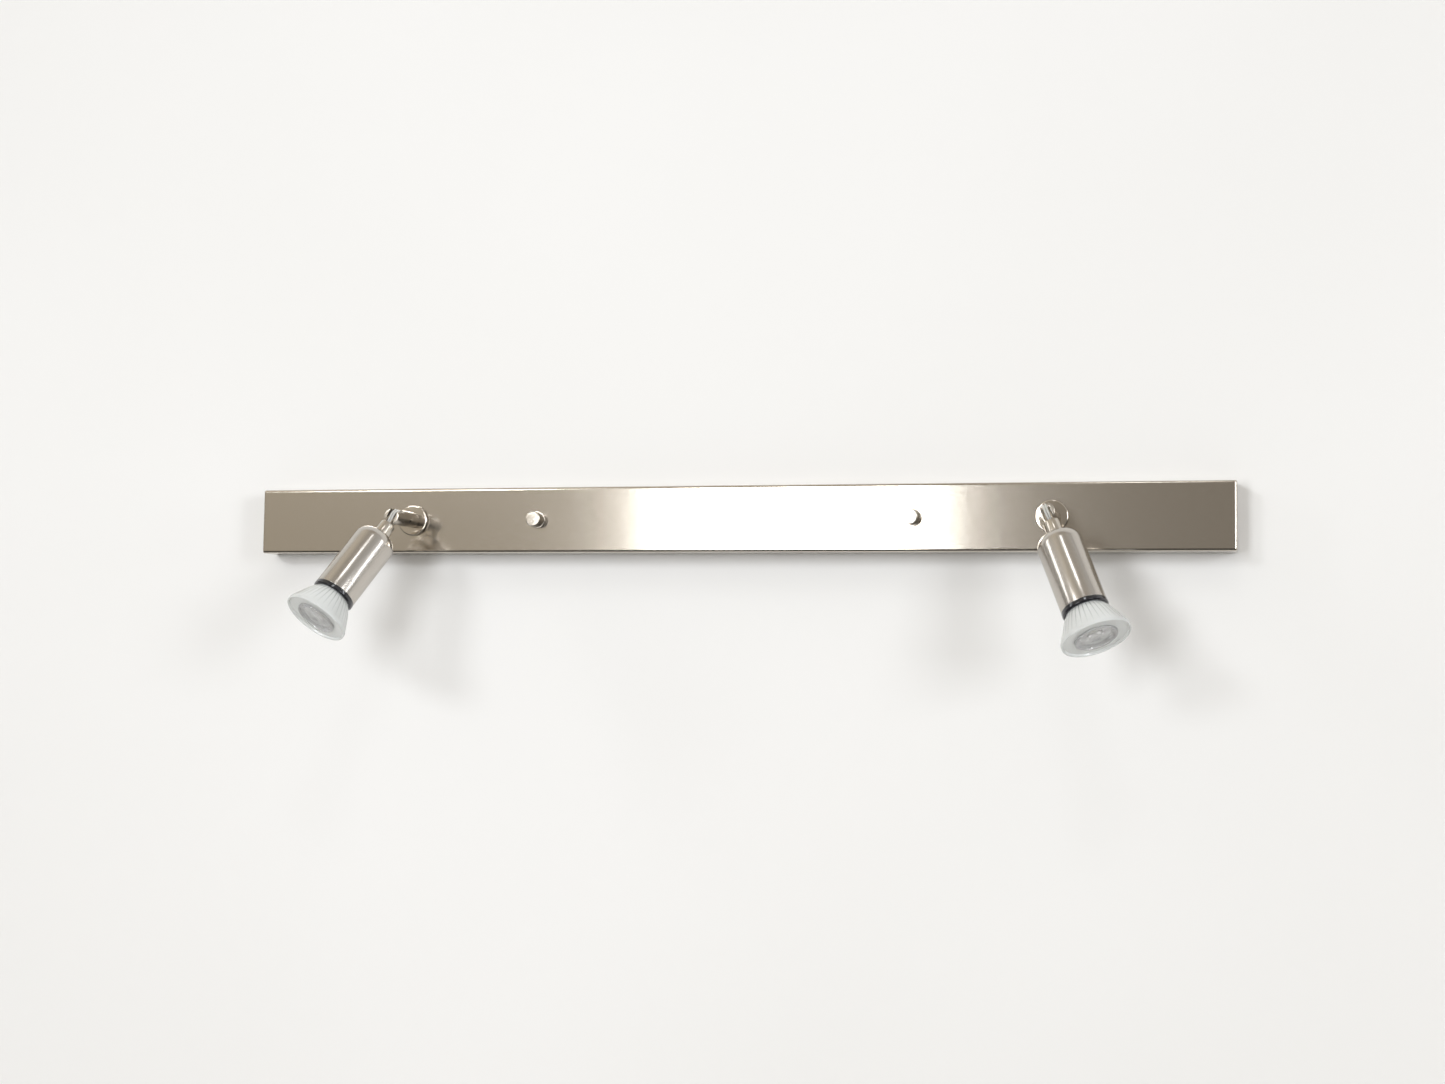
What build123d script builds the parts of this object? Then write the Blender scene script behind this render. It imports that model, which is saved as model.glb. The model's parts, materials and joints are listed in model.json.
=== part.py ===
"""Two-lamp spotlight bar for a wall or a ceiling, in millimetres.

A folded steel canopy covers a mounting strap and the wiring. Each lamp turns on a flange fixed to the
canopy, tilts on a clevis at the end of its arm, and holds a twist-and-lock reflector bulb.

Frame: X runs along the bar, Z is up and Y points into the wall. The wall is the plane Y = 0, and the
origin is the middle of the bar's back. Each lamp is made in two planes of its own. Its arm plane has
its origin on the canopy's face, z out of the wall and x towards the side that the lamp leans to. Its
head plane has its origin at the tilt pivot and z along the lamp, towards the bulb's face.
"""
import os
from math import asin, cos, degrees, hypot, radians, sin, tan

from build123d import *

# ---- Clearances ----
running_fit = 0.05           # radial, on shafts that turn and on screws in their holes
thrust_gap = 0.1             # between flat faces that turn against each other
seat_gap = 0.3               # between pieces that move past each other
hole_clearance = 0.2         # radial, on clearance holes in sheet metal

# ---- Bar ----
bar_length = 762.0
bar_height = 51.0
bar_depth = 25.0
sheet = 1.0
bend_radius = 2.0
corner_radius = 1.5
lamp_offset = 250.0          # from the middle of the bar to each lamp
stud_offset = 147.0          # from the middle of the bar to each mounting stud

# ---- Mounting strap and its fasteners ----
strap_length = 330.0
strap_width = 36.0
strap_depth = 8.0
strap_sheet = 1.5
supply_hole_radius = 11.0
box_slot_spacing = 89.0
box_slot_radius = 2.4
box_slot_length = 16.0
wall_hole_spacing = 240.0
wall_hole_radius = 2.6
stud_radius = 2.0
stud_head_radius = 3.75
stud_head_height = 2.6
stud_nut_flats = 7.0
stud_nut_height = 3.2
cap_nut_radius = 5.8
cap_nut_height = 9.5
cap_nut_roof = 1.5
cap_nut_edge = 0.6
cap_washer_radius = 6.6
cap_washer_thickness = 1.0
earth_screw_offset = 24.0
earth_screw_length = 9.0
earth_washer_radius = 4.5
earth_washer_thickness = 0.8

# ---- Terminal block ----
block_offset = 85.0          # from the middle of the bar
block_length = 32.0
block_width = 17.0
block_height = 12.0
block_edge = 1.0
pole_pitch = 10.0
wire_hole_radius = 2.3
wire_hole_depth = 6.0
wire_hole_height = 4.5       # above the strap
clamp_screw_radius = 2.0
clamp_screw_length = 3.0
clamp_screw_offset = 4.0     # from the block's middle, both ways
block_screw_radius = 1.5
block_screw_head_radius = 2.6
block_screw_head_height = 2.0

# ---- Flange, which carries the arm ----
flange_radius = 12.0
flange_thickness = 3.0
flange_edge = 0.9
nipple_radius = 5.0
nipple_length = 7.0          # behind the canopy's face
cable_bore = 3.0
spigot_radius = 4.5
spigot_length = 23.0         # beyond the flange
stop_groove_depth = 0.7
pan_travel = 160.0           # each way from straight down
flange_nut_flats = 14.0
flange_nut_height = 3.0
lock_washer_radius = 8.5
lock_washer_thickness = 0.8
bush_lip = 0.8
bush_length = 4.0

# ---- Arm ----
arm_radius = 6.0
pivot_height = 38.0          # from the canopy's face to the tilt pivot
ear_length = 6.0             # beyond the pivot
arm_edge = 0.5
lead_bore = 2.7
slot_depth = 14.5
pivot_pin_radius = 1.5
pivot_head_radius = 2.6
pivot_head_height = 1.0
pivot_head_wall = 1.3        # of the ear, under the screw's head
pivot_thread = 2.0           # depth in the far ear
pivot_washer_radius = 3.5
pivot_washer_thickness = 0.4
grub_height = 20.5           # above the canopy's face
grub_radius = 1.25
grub_tip_radius = 1.0
grub_sink = 0.5              # below the arm's surface
grub_socket_radius = 0.7
grub_socket_depth = 0.6

# ---- Knuckle and sleeve, along the lamp from the pivot ----
tongue_thickness = 5.6
eye_radius = 3.8
neck_radius = 6.0
neck_edge = 0.4
neck_end = 19.5
thread_radius = 5.0
thread_length = 7.5
wire_bore = 3.2
sleeve_radius = 16.5
sleeve_wall = 1.0
sleeve_seat_radius = 6.3
sleeve_end = 80.0
ring_reach = 3.5             # in front of the sleeve
ring_insert_length = 7.0
ring_insert_wall = 0.8
ring_overhang = 0.2
ring_edge = 0.8
neck_washer_radius = 6.1
neck_washer_thickness = 1.0
neck_nut_flats = 12.0
neck_nut_height = 3.0

# ---- Lamp holder ----
holder_radius = 12.6
holder_flat = 9.5            # half the width between the two flats
holder_length = 14.5
holder_plate = 4.2
holder_edge = 0.8
holder_back_gap = 17.0       # from the neck's thread to the holder
holder_screw_offset = 6.8
holder_screw_radius = 1.5
holder_screw_length = 6.0
holder_screw_head_radius = 2.5
holder_screw_head_height = 1.6
bracket_sheet = 0.8
bracket_width = 13.0
bracket_foot = 6.8           # half the width of its foot on the neck
bracket_span = 10.2          # half the width across its legs
bracket_tab = 4.8            # half the width between its tabs
contact_width = 3.0
contact_stem_radius = 0.9
lead_hole_radius = 1.0
lead_hole_entry = 1.6
contact_thickness = 0.5

# ---- Bulb ----
bulb_length = 47.0           # from the base to the rim of the face
bulb_radius = 25.0
bulb_rim = 2.6
bulb_base_radius = 11.2
bulb_base_length = 17.0
glass_wall = 1.3
glass_neck_radius = 11.9
lens_radius = 15.5
lens_thickness = 2.4
lens_edge = 0.8
lens_rise = 2.0              # of the lens in front of the face
face_depth = 1.6             # from the rim back to the face's flat ring
glass_lap = 1.5              # of the base inside the glass
pin_root = 4.0               # of each pin inside the base
heat_sink_radius = 8.0
pin_pitch = 10.0
pin_shank_radius = 1.6
pin_head_radius = 2.5
pin_length = 7.0
pin_head_length = 2.6
twist_angle = 40.0
board_radius = 11.0
board_thickness = 1.6
board_setback = 9.0          # behind the face's flat ring
led_side = 4.0
led_height = 0.8
led_ring = 5.2

# ---- Wires ----
wire_radius = 0.8
wire_pitch = 1.8
wire_wrap = 5.1              # radius at which the wires pass round the tilt pivot
wire_turn = 11.0             # from the pivot to where the wires leave each axis
wire_bend = 8.0
cable_radius = 2.1
cable_bend = 8.0
cable_back = 7.0             # from the wall, where the cable turns along the bar
cable_run_in = 70.0          # along the bar, from the lamp to the level of the terminal block

# ---- Rest pose of each lamp: side of the bar, pan from straight down towards +X, tilt from the arm ----
LAMPS = {"left": (-1, -24.5, 57.5), "right": (1, 22.5, 68.5)}

# ---- Sizes that follow from the ones above ----
slot_width = tongue_thickness + 2 * (pivot_washer_thickness + thrust_gap)
arm_length = pivot_height + ear_length
slot_floor = arm_length - slot_depth
spigot_top = flange_thickness + spigot_length
groove_radius = spigot_radius - stop_groove_depth
neck_start = hypot(arm_radius, ear_length) + seat_gap
sleeve_inner = sleeve_radius - sleeve_wall
shoulder = sleeve_radius - sleeve_seat_radius
washer_seat = neck_end + sleeve_wall
bracket_seat = washer_seat + neck_washer_thickness
nut_seat = bracket_seat + bracket_sheet
thread_end = neck_end + thread_length
holder_back = thread_end + holder_back_gap
holder_front = holder_back + holder_length
cavity_front = holder_front - holder_plate
cavity_floor = holder_front - pin_length - seat_gap - contact_thickness - thrust_gap
bulb_front = holder_front + bulb_length
face = bulb_front - face_depth
board_front = face - board_setback
base_end = holder_front + bulb_base_length
ring_front = sleeve_end + ring_reach
ring_inner = sleeve_inner - running_fit - ring_insert_wall
cable_end = spigot_top - 4.5
cable_level = strap_depth + wire_hole_height
nut_bore = cap_nut_height - cap_nut_roof
stud_top = bar_depth + cap_washer_thickness + nut_bore - seat_gap


def out(distance):
    """The plane parallel to the wall at this distance in front of it."""
    return Plane.XZ.offset(distance)


def post(x, distance=0.0, z=0.0):
    """A plane square to the wall's, for pieces that stand on the bar: z out of the wall."""
    return Plane(origin=(x, -distance, z), x_dir=(1, 0, 0), z_dir=(0, -1, 0))


def arm_plane(side, pan):
    """Origin on the canopy's face, z out of the wall, x towards the side that the lamp leans to."""
    lean = Vector(sin(radians(pan)), 0, -cos(radians(pan)))
    return Plane(origin=(side * lamp_offset, -bar_depth, 0), x_dir=lean, z_dir=(0, -1, 0))


def head_plane(arm, tilt):
    """Origin at the tilt pivot, z along the lamp, x in the plane of the tilt."""
    pivot = arm.origin + arm.z_dir * pivot_height
    along = arm.z_dir * cos(radians(tilt)) + arm.x_dir * sin(radians(tilt))
    across = arm.x_dir * cos(radians(tilt)) - arm.z_dir * sin(radians(tilt))
    return Plane(origin=pivot, x_dir=across, z_dir=along)


def axis_of(plane):
    return Axis(plane.origin, plane.z_dir)


def side_plane(plane):
    """The plane that holds the given plane's x and z, for profiles turned about z."""
    return Plane(origin=plane.origin, x_dir=plane.x_dir, z_dir=-plane.y_dir)


def cross_plane(plane, height):
    """Origin on the plane's z at this height, and z along the plane's y."""
    return Plane(origin=plane.origin + plane.z_dir * height, x_dir=plane.x_dir, z_dir=plane.y_dir)


def turn(plane, *outline, mode=Mode.ADD):
    """Turn a closed outline of (radius, height) points about the plane's z."""
    with BuildSketch(side_plane(plane)) as profile:
        with BuildLine():
            Polyline(*outline, close=True)
        make_face()
    revolve(profile.sketch, axis=axis_of(plane), mode=mode)


def bar(plane, radius, low, high, mode=Mode.ADD):
    """A round bar or bore along the plane's z."""
    with BuildSketch(plane.offset(low)) as disc:
        Circle(radius)
    extrude(disc.sketch, amount=high - low, mode=mode)


def ring(plane, outer, inner, low, high):
    """A washer or tube along the plane's z."""
    with BuildSketch(plane.offset(low)) as section:
        Circle(outer)
        Circle(inner, mode=Mode.SUBTRACT)
    extrude(section.sketch, amount=high - low)


def hex_nut(plane, flats, bore, low, high):
    with BuildSketch(plane.offset(low)) as section:
        RegularPolygon(flats / 2, 6, major_radius=False, rotation=30)
        Circle(bore, mode=Mode.SUBTRACT)
    extrude(section.sketch, amount=high - low)


def wire(radius, points, bends):
    """A round wire along straight runs joined by arcs."""
    with BuildLine() as route:
        FilletPolyline(*points, radius=bends)
    with BuildSketch(Plane(origin=route.line @ 0, z_dir=route.line % 0)) as section:
        Circle(radius)
    sweep(section.sketch, path=route.line)


def save(name, piece):
    piece.part.label = name
    export_step(piece.part, f"parts/{name}.step")


# ---- Bar: canopy, strap and wiring ----
def make_canopy():
    with BuildPart() as canopy:
        with BuildSketch(Plane.XZ):
            RectangleRounded(bar_length, bar_height, corner_radius)
        extrude(amount=bar_depth)
        fillet(canopy.faces().sort_by(Axis.Y)[0].edges(), bend_radius * 0.99)
        with BuildSketch(Plane.XZ):
            Rectangle(bar_length - 2 * sheet, bar_height - 2 * sheet)
        extrude(amount=bar_depth - sheet, mode=Mode.SUBTRACT)
        for x in (-lamp_offset, lamp_offset):
            bar(post(x), nipple_radius + hole_clearance, 0, bar_depth, Mode.SUBTRACT)
        for x in (-stud_offset, stud_offset):
            bar(post(x), stud_radius + hole_clearance, 0, bar_depth, Mode.SUBTRACT)
    save("canopy", canopy)


def make_mounting_strap():
    tapped = stud_radius + running_fit
    holes = [(-stud_offset, tapped), (stud_offset, tapped), (-earth_screw_offset, tapped)]
    holes += [(-wall_hole_spacing / 2, wall_hole_radius), (wall_hole_spacing / 2, wall_hole_radius)]
    with BuildPart() as strap:
        with BuildSketch(Plane.XZ):
            Rectangle(strap_length, strap_width)
        extrude(amount=strap_depth)
        fillet(strap.faces().sort_by(Axis.Y)[0].edges().filter_by(Axis.X), bend_radius)
        with BuildSketch(Plane.XZ):
            Rectangle(strap_length, strap_width - 2 * strap_sheet)
        extrude(amount=strap_depth - strap_sheet, mode=Mode.SUBTRACT)
        for x, radius in holes:
            bar(post(x), radius, 0, strap_depth, Mode.SUBTRACT)
        bar(post(0), supply_hole_radius, 0, strap_depth, Mode.SUBTRACT)
        bar(block_screw_plane(), block_screw_radius + running_fit, 0, strap_depth, Mode.SUBTRACT)
        with BuildSketch(Plane.XZ):
            with Locations((-box_slot_spacing / 2, 0), (box_slot_spacing / 2, 0)):
                SlotOverall(box_slot_length, 2 * box_slot_radius)
        extrude(amount=strap_depth, mode=Mode.SUBTRACT)
    save("mounting_strap", strap)


def make_canopy_fasteners():
    web = strap_depth - strap_sheet
    cap_seat = bar_depth + cap_washer_thickness
    with BuildPart() as studs:
        for x in (-stud_offset, stud_offset):
            bar(post(x), stud_head_radius, web - stud_head_height, web)
            bar(post(x), stud_radius, web, stud_top)
    save("mounting_studs", studs)
    with BuildPart() as lock_nuts:
        for x in (-stud_offset, stud_offset):
            hex_nut(post(x), stud_nut_flats, stud_radius + running_fit,
                    strap_depth, strap_depth + stud_nut_height)
    save("stud_lock_nuts", lock_nuts)
    with BuildPart() as washers:
        for x in (-stud_offset, stud_offset):
            ring(post(x), cap_washer_radius, stud_radius + hole_clearance, bar_depth, cap_seat)
    save("cap_washers", washers)
    with BuildPart() as caps:
        for x in (-stud_offset, stud_offset):
            turn(post(x, cap_seat),
                 (0, cap_nut_height), (cap_nut_radius - cap_nut_edge, cap_nut_height),
                 (cap_nut_radius, cap_nut_height - cap_nut_edge), (cap_nut_radius, 0),
                 (stud_radius + running_fit, 0), (stud_radius + running_fit, nut_bore), (0, nut_bore))
    save("cap_nuts", caps)


def make_earth_screw():
    seat = strap_depth + earth_washer_thickness
    place = post(-earth_screw_offset)
    with BuildPart() as washer:
        ring(place, earth_washer_radius, stud_radius + hole_clearance, strap_depth, seat)
    save("earth_washer", washer)
    with BuildPart() as screw:
        bar(place, stud_head_radius, seat, seat + stud_head_height)
        bar(place, stud_radius, seat + stud_head_height - earth_screw_length, seat)
    save("earth_screw", screw)


def block_screw_plane():
    """Between the upper two poles of the terminal block."""
    return post(block_offset, 0, pole_pitch / 2)


def clamp_places():
    """The middle of each wire clamp of the terminal block."""
    columns = (block_offset - clamp_screw_offset, block_offset + clamp_screw_offset)
    return [post(x, 0, row * pole_pitch) for row in (-1, 0, 1) for x in columns]


def make_terminal_block():
    top = strap_depth + block_height
    head_seat = top - block_screw_head_height
    screw_tip = cable_level + cable_radius + thrust_gap
    with BuildPart() as block:
        with BuildSketch(out(strap_depth)):
            with Locations((block_offset, 0)):
                Rectangle(block_width, block_length)
        extrude(amount=block_height)
        chamfer(block.faces().sort_by(Axis.Y)[0].edges(), block_edge)
        for row in (-1, 0, 1):
            for side in (-1, 1):
                block_end = block_offset + side * block_width / 2
                mouth = Plane(origin=(block_end, -cable_level, row * pole_pitch), z_dir=(-side, 0, 0))
                bar(mouth, wire_hole_radius, 0, wire_hole_depth, Mode.SUBTRACT)
        for place in clamp_places():
            bar(place, clamp_screw_radius + running_fit, cable_level, top, Mode.SUBTRACT)
        bar(block_screw_plane(), block_screw_radius + running_fit, strap_depth, top, Mode.SUBTRACT)
        bar(block_screw_plane(), block_screw_head_radius + hole_clearance, head_seat, top, Mode.SUBTRACT)
    save("terminal_block", block)
    with BuildPart() as clamps:
        for place in clamp_places():
            bar(place, clamp_screw_radius, screw_tip, screw_tip + clamp_screw_length)
    save("terminal_screws", clamps)
    with BuildPart() as screw:
        bar(block_screw_plane(), block_screw_radius, strap_depth - strap_sheet - 1, head_seat)
        bar(block_screw_plane(), block_screw_head_radius, head_seat, top)
    save("terminal_block_screw", screw)


def make_flange_fasteners():
    washer_end = -sheet - lock_washer_thickness
    bores = [post(side * lamp_offset, bar_depth) for side in (-1, 1)]
    with BuildPart() as washers:
        for place in bores:
            ring(place, lock_washer_radius, nipple_radius + hole_clearance, washer_end, -sheet)
    save("flange_lock_washers", washers)
    with BuildPart() as nuts:
        for place in bores:
            hex_nut(place, flange_nut_flats, nipple_radius + running_fit,
                    washer_end - flange_nut_height, washer_end)
    save("flange_nuts", nuts)
    with BuildPart() as bushes:
        for place in bores:
            turn(place,
                 (cable_radius + running_fit, -nipple_length - bush_lip),
                 (nipple_radius, -nipple_length - bush_lip),
                 (nipple_radius, -nipple_length),
                 (cable_bore - running_fit, -nipple_length),
                 (cable_bore - running_fit, -nipple_length + bush_length),
                 (cable_radius + running_fit, -nipple_length + bush_length))
    save("nipple_bushes", bushes)


# ---- Flange and lead, fixed to the canopy ----
def make_flange(name, side):
    base = post(side * lamp_offset, bar_depth)
    grub_angle = degrees(asin(grub_tip_radius / groove_radius))
    key_angle = 180 - pan_travel - grub_angle - 1
    reach = 2 * spigot_radius
    with BuildPart() as flange:
        turn(base,
             (cable_bore, -nipple_length), (nipple_radius, -nipple_length), (nipple_radius, 0),
             (flange_radius, 0), (flange_radius, flange_thickness), (spigot_radius, flange_thickness),
             (spigot_radius, spigot_top), (cable_bore, spigot_top))
        widest = flange.edges().filter_by(GeomType.CIRCLE).group_by(SortBy.RADIUS)[-1]
        fillet(widest.sort_by(Axis.Y)[0], flange_edge)
        with BuildSketch(base.offset(grub_height - grub_tip_radius - thrust_gap)):
            Circle(spigot_radius + 1)
            Circle(groove_radius, mode=Mode.SUBTRACT)
            with BuildLine():
                half = reach * tan(radians(key_angle))
                Polyline((0, 0), (-reach, half), (-reach, -half), close=True)
            make_face(mode=Mode.SUBTRACT)
        extrude(amount=2 * (grub_tip_radius + thrust_gap), mode=Mode.SUBTRACT)
    save(f"{name}_flange", flange)


def make_lead_sleeve(name, side):
    x = side * lamp_offset
    level_x = x - side * cable_run_in
    block_face = block_offset + (block_width / 2 if side > 0 else -block_width / 2)
    end_x = block_face - side * (wire_hole_depth - 1)
    with BuildPart() as sleeve:
        wire(cable_radius,
             [(x, -bar_depth - cable_end, 0), (x, -cable_back, 0),
              (level_x, -cable_level, pole_pitch), (end_x, -cable_level, pole_pitch)],
             [cable_bend, 3 * cable_bend])
    save(f"{name}_lead_sleeve", sleeve)


# ---- Arm ----
def make_arm(name, arm_frame):
    foot = flange_thickness + thrust_gap
    pin = cross_plane(arm_frame, pivot_height)
    head_seat = -slot_width / 2 - pivot_head_wall
    with BuildPart() as arm:
        with BuildSketch(arm_frame.offset(foot)):
            Circle(arm_radius)
        extrude(amount=arm_length - foot)
        chamfer(arm.edges().filter_by(GeomType.CIRCLE), arm_edge)
        bar(arm_frame, spigot_radius + running_fit, 0, spigot_top + seat_gap, Mode.SUBTRACT)
        bar(arm_frame, lead_bore, 0, slot_floor, Mode.SUBTRACT)
        with BuildSketch(arm_frame.offset(slot_floor)):
            Rectangle(4 * arm_radius, slot_width)
        extrude(amount=2 * slot_depth, mode=Mode.SUBTRACT)
        pin_far = slot_width / 2 + pivot_thread + thrust_gap
        bar(pin, pivot_pin_radius + running_fit, -arm_radius, pin_far, Mode.SUBTRACT)
        bar(pin, pivot_head_radius + hole_clearance, -arm_radius, head_seat, Mode.SUBTRACT)
        bar(cross_plane(arm_frame, grub_height), grub_radius + running_fit, 0, arm_radius, Mode.SUBTRACT)
    save(f"{name}_arm", arm)


def make_arm_fittings(name, arm_frame):
    pin = cross_plane(arm_frame, pivot_height)
    head_seat = -slot_width / 2 - pivot_head_wall
    with BuildPart() as screw:
        bar(pin, pivot_pin_radius, head_seat, slot_width / 2 + pivot_thread)
        bar(pin, pivot_head_radius, head_seat - pivot_head_height, head_seat)
    save(f"{name}_pivot_screw", screw)
    with BuildPart() as washers:
        for low in (-slot_width / 2, slot_width / 2 - pivot_washer_thickness):
            high = low + pivot_washer_thickness
            ring(pin, pivot_washer_radius, pivot_pin_radius + running_fit, low, high)
    save(f"{name}_friction_washers", washers)
    grub = cross_plane(arm_frame, grub_height)
    with BuildPart() as grub_screw:
        bar(grub, grub_tip_radius, groove_radius + thrust_gap, spigot_radius + running_fit)
        bar(grub, grub_radius, spigot_radius + running_fit, arm_radius - grub_sink)
        with BuildSketch(grub.offset(arm_radius - grub_sink)):
            RegularPolygon(grub_socket_radius, 6)
        extrude(amount=-grub_socket_depth, mode=Mode.SUBTRACT)
    save(f"{name}_grub_screw", grub_screw)


# ---- Head: knuckle, sleeve and holder ----
def wire_slope():
    """The angle at which the wires leave the lamp's axis to pass round the pivot."""
    return asin(wire_wrap / wire_turn)


def make_knuckle(name, head):
    slope = wire_slope()
    inner = wire_wrap - wire_radius - thrust_gap
    touch = (-inner * cos(slope), inner * sin(slope))
    neck_top = neck_start + 1
    meet = (touch[0] + (neck_top - touch[1]) * tan(slope), neck_top)
    channel_edge = -wire_bore * cos(asin((wire_pitch / 2 + wire_radius + seat_gap) / wire_bore))
    with BuildPart() as knuckle:
        bar(cross_plane(head, 0), eye_radius, -tongue_thickness / 2, tongue_thickness / 2)
        with BuildSketch(head):
            Rectangle(2 * eye_radius, tongue_thickness)
        extrude(amount=neck_top)
        with BuildSketch(head.offset(neck_start)):
            Circle(neck_radius)
        extrude(amount=neck_end - neck_start)
        rims = knuckle.edges().filter_by(GeomType.CIRCLE).group_by(SortBy.RADIUS)[-1]
        chamfer(rims, neck_edge)
        bar(head, thread_radius, neck_end, thread_end)
        bar(head, wire_bore, neck_top, thread_end, Mode.SUBTRACT)
        bar(cross_plane(head, 0), pivot_pin_radius + running_fit, -neck_radius, neck_radius, Mode.SUBTRACT)
        with BuildSketch(side_plane(head)):
            with BuildLine():
                Polyline((-2 * eye_radius, touch[1]), touch, meet, (channel_edge, neck_top),
                         (channel_edge, neck_start), (-2 * eye_radius, neck_start), close=True)
            make_face()
        extrude(amount=wire_pitch / 2 + wire_radius + thrust_gap, both=True, mode=Mode.SUBTRACT)
    save(f"{name}_knuckle", knuckle)


def make_leads(name, arm_frame, head):
    """Two wires from the arm's bore, round the pivot and through the neck to the holder."""
    slope = wire_slope()
    half_turn = radians(LAMPS[name][2]) / 2 + slope
    bisector = -(head.z_dir - arm_frame.z_dir).normalized()
    corner = bisector * (wire_wrap / cos(half_turn))
    start = arm_frame.z_dir * (cable_end + seat_gap - pivot_height)
    end = holder_back + lead_hole_entry
    with BuildPart() as leads:
        for side in (-1, 1):
            near = arm_frame.y_dir * (side * wire_pitch / 2)
            far = arm_frame.y_dir * (side * pin_pitch / 2)
            points = [start + near, arm_frame.z_dir * -wire_turn + near, corner + near,
                      head.z_dir * wire_turn + near, head.z_dir * (thread_end + 4) + near,
                      head.z_dir * (holder_back - 4) + far, head.z_dir * end + far]
            wire(wire_radius, [head.origin + point for point in points],
                 [wire_bend, wire_wrap, wire_bend, wire_bend, wire_bend])
    save(f"{name}_leads", leads)


def make_sleeve(name, head):
    start = thread_radius + hole_clearance
    centre = (sleeve_seat_radius, neck_end + shoulder)
    with BuildPart() as sleeve:
        with BuildSketch(side_plane(head)) as profile:
            with BuildLine():
                Line((start, neck_end), (sleeve_seat_radius, neck_end))
                CenterArc(centre, shoulder, -90, 90)
                Polyline((sleeve_radius, neck_end + shoulder), (sleeve_radius, sleeve_end),
                         (sleeve_inner, sleeve_end), (sleeve_inner, neck_end + shoulder))
                CenterArc(centre, shoulder - sleeve_wall, 0, -90)
                Polyline((sleeve_seat_radius, washer_seat), (start, washer_seat), (start, neck_end))
            make_face()
        revolve(profile.sketch, axis=axis_of(head))
    save(f"{name}_sleeve", sleeve)
    with BuildPart() as trim:
        turn(head,
             (ring_inner, sleeve_end - ring_insert_length),
             (sleeve_inner - running_fit, sleeve_end - ring_insert_length),
             (sleeve_inner - running_fit, sleeve_end),
             (sleeve_radius + ring_overhang, sleeve_end),
             (sleeve_radius + ring_overhang, ring_front - ring_edge),
             (sleeve_radius + ring_overhang - ring_edge, ring_front),
             (ring_inner, ring_front))
    save(f"{name}_trim_ring", trim)


def make_neck_fasteners(name, head):
    with BuildPart() as washer:
        ring(head, neck_washer_radius, thread_radius + hole_clearance, washer_seat, bracket_seat)
    save(f"{name}_neck_washer", washer)
    with BuildPart() as nut:
        hex_nut(head, neck_nut_flats, thread_radius + running_fit, nut_seat, nut_seat + neck_nut_height)
    save(f"{name}_neck_nut", nut)


def beside(plane, direction, distance):
    """Two copies of a plane, this far to each side of it."""
    origins = [plane.origin + direction * (side * distance) for side in (-1, 1)]
    return [Plane(origin=origin, x_dir=plane.x_dir, z_dir=plane.z_dir) for origin in origins]


def holder_screw_planes(head):
    return beside(head, head.x_dir, holder_screw_offset)


def pin_planes(head):
    return beside(head, head.y_dir, pin_pitch / 2)


def make_holder_bracket(name, head):
    half = bracket_sheet / 2
    tab = holder_back - half
    bend = neck_end + shoulder
    foot = (bracket_foot, bracket_seat + half)
    leg = [(bracket_tab, tab), (bracket_span, tab), (bracket_span, bend), foot]
    line = [(-x, z) for x, z in leg] + leg[::-1]
    with BuildPart() as bracket:
        with BuildSketch(side_plane(head)):
            with BuildLine():
                Polyline(*line)
                offset(amount=half, kind=Kind.INTERSECTION)
            make_face()
        extrude(amount=bracket_width / 2, both=True)
        bar(head, thread_radius + hole_clearance, washer_seat, nut_seat + half, Mode.SUBTRACT)
        for place in holder_screw_planes(head):
            bar(place, holder_screw_radius + hole_clearance, tab - half, holder_back, Mode.SUBTRACT)
    save(f"{name}_holder_bracket", bracket)
    seat = holder_back - bracket_sheet
    with BuildPart() as screws:
        for place in holder_screw_planes(head):
            bar(place, holder_screw_head_radius, seat - holder_screw_head_height, seat)
            bar(place, holder_screw_radius, seat, seat + holder_screw_length)
    save(f"{name}_holder_screws", screws)


def make_holder(name, head):
    screw_end = holder_back - bracket_sheet + holder_screw_length + seat_gap
    shank = pin_shank_radius + hole_clearance
    knob = pin_head_radius + hole_clearance
    with BuildPart() as holder:
        with BuildSketch(head.offset(holder_back)):
            Circle(holder_radius)
            Rectangle(2 * holder_flat, 2 * holder_radius, mode=Mode.INTERSECT)
        extrude(amount=holder_length)
        chamfer(holder.faces().sort_by(axis_of(head))[-1].edges(), holder_edge)
        with BuildSketch(head.offset(cavity_floor)):
            for start in (90, 270):
                with BuildLine():
                    CenterArc((0, 0), pin_pitch / 2, start, twist_angle)
                    offset(amount=knob)
                make_face()
        extrude(amount=cavity_front - cavity_floor, mode=Mode.SUBTRACT)
        with BuildSketch(head.offset(cavity_front)):
            for start in (90, 270):
                with BuildLine():
                    CenterArc((0, 0), pin_pitch / 2, start, twist_angle)
                    offset(amount=shank)
                make_face()
            with PolarLocations(pin_pitch / 2, 2, start_angle=90 + twist_angle):
                Circle(knob)
        extrude(amount=holder_plate, mode=Mode.SUBTRACT)
        for place in holder_screw_planes(head):
            bar(place, holder_screw_radius + running_fit, holder_back, screw_end, Mode.SUBTRACT)
        for place in pin_planes(head):
            bar(place, lead_hole_radius, holder_back, cavity_floor, Mode.SUBTRACT)
    save(f"{name}_holder", holder)
    stem_start = holder_back + lead_hole_entry + seat_gap
    with BuildPart() as contacts:
        for place in pin_planes(head):
            bar(place, contact_stem_radius, stem_start, cavity_floor + thrust_gap)
            with BuildSketch(place.offset(cavity_floor + thrust_gap)):
                Rectangle(contact_width, contact_width)
            extrude(amount=contact_thickness)
    save(f"{name}_holder_contacts", contacts)


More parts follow.
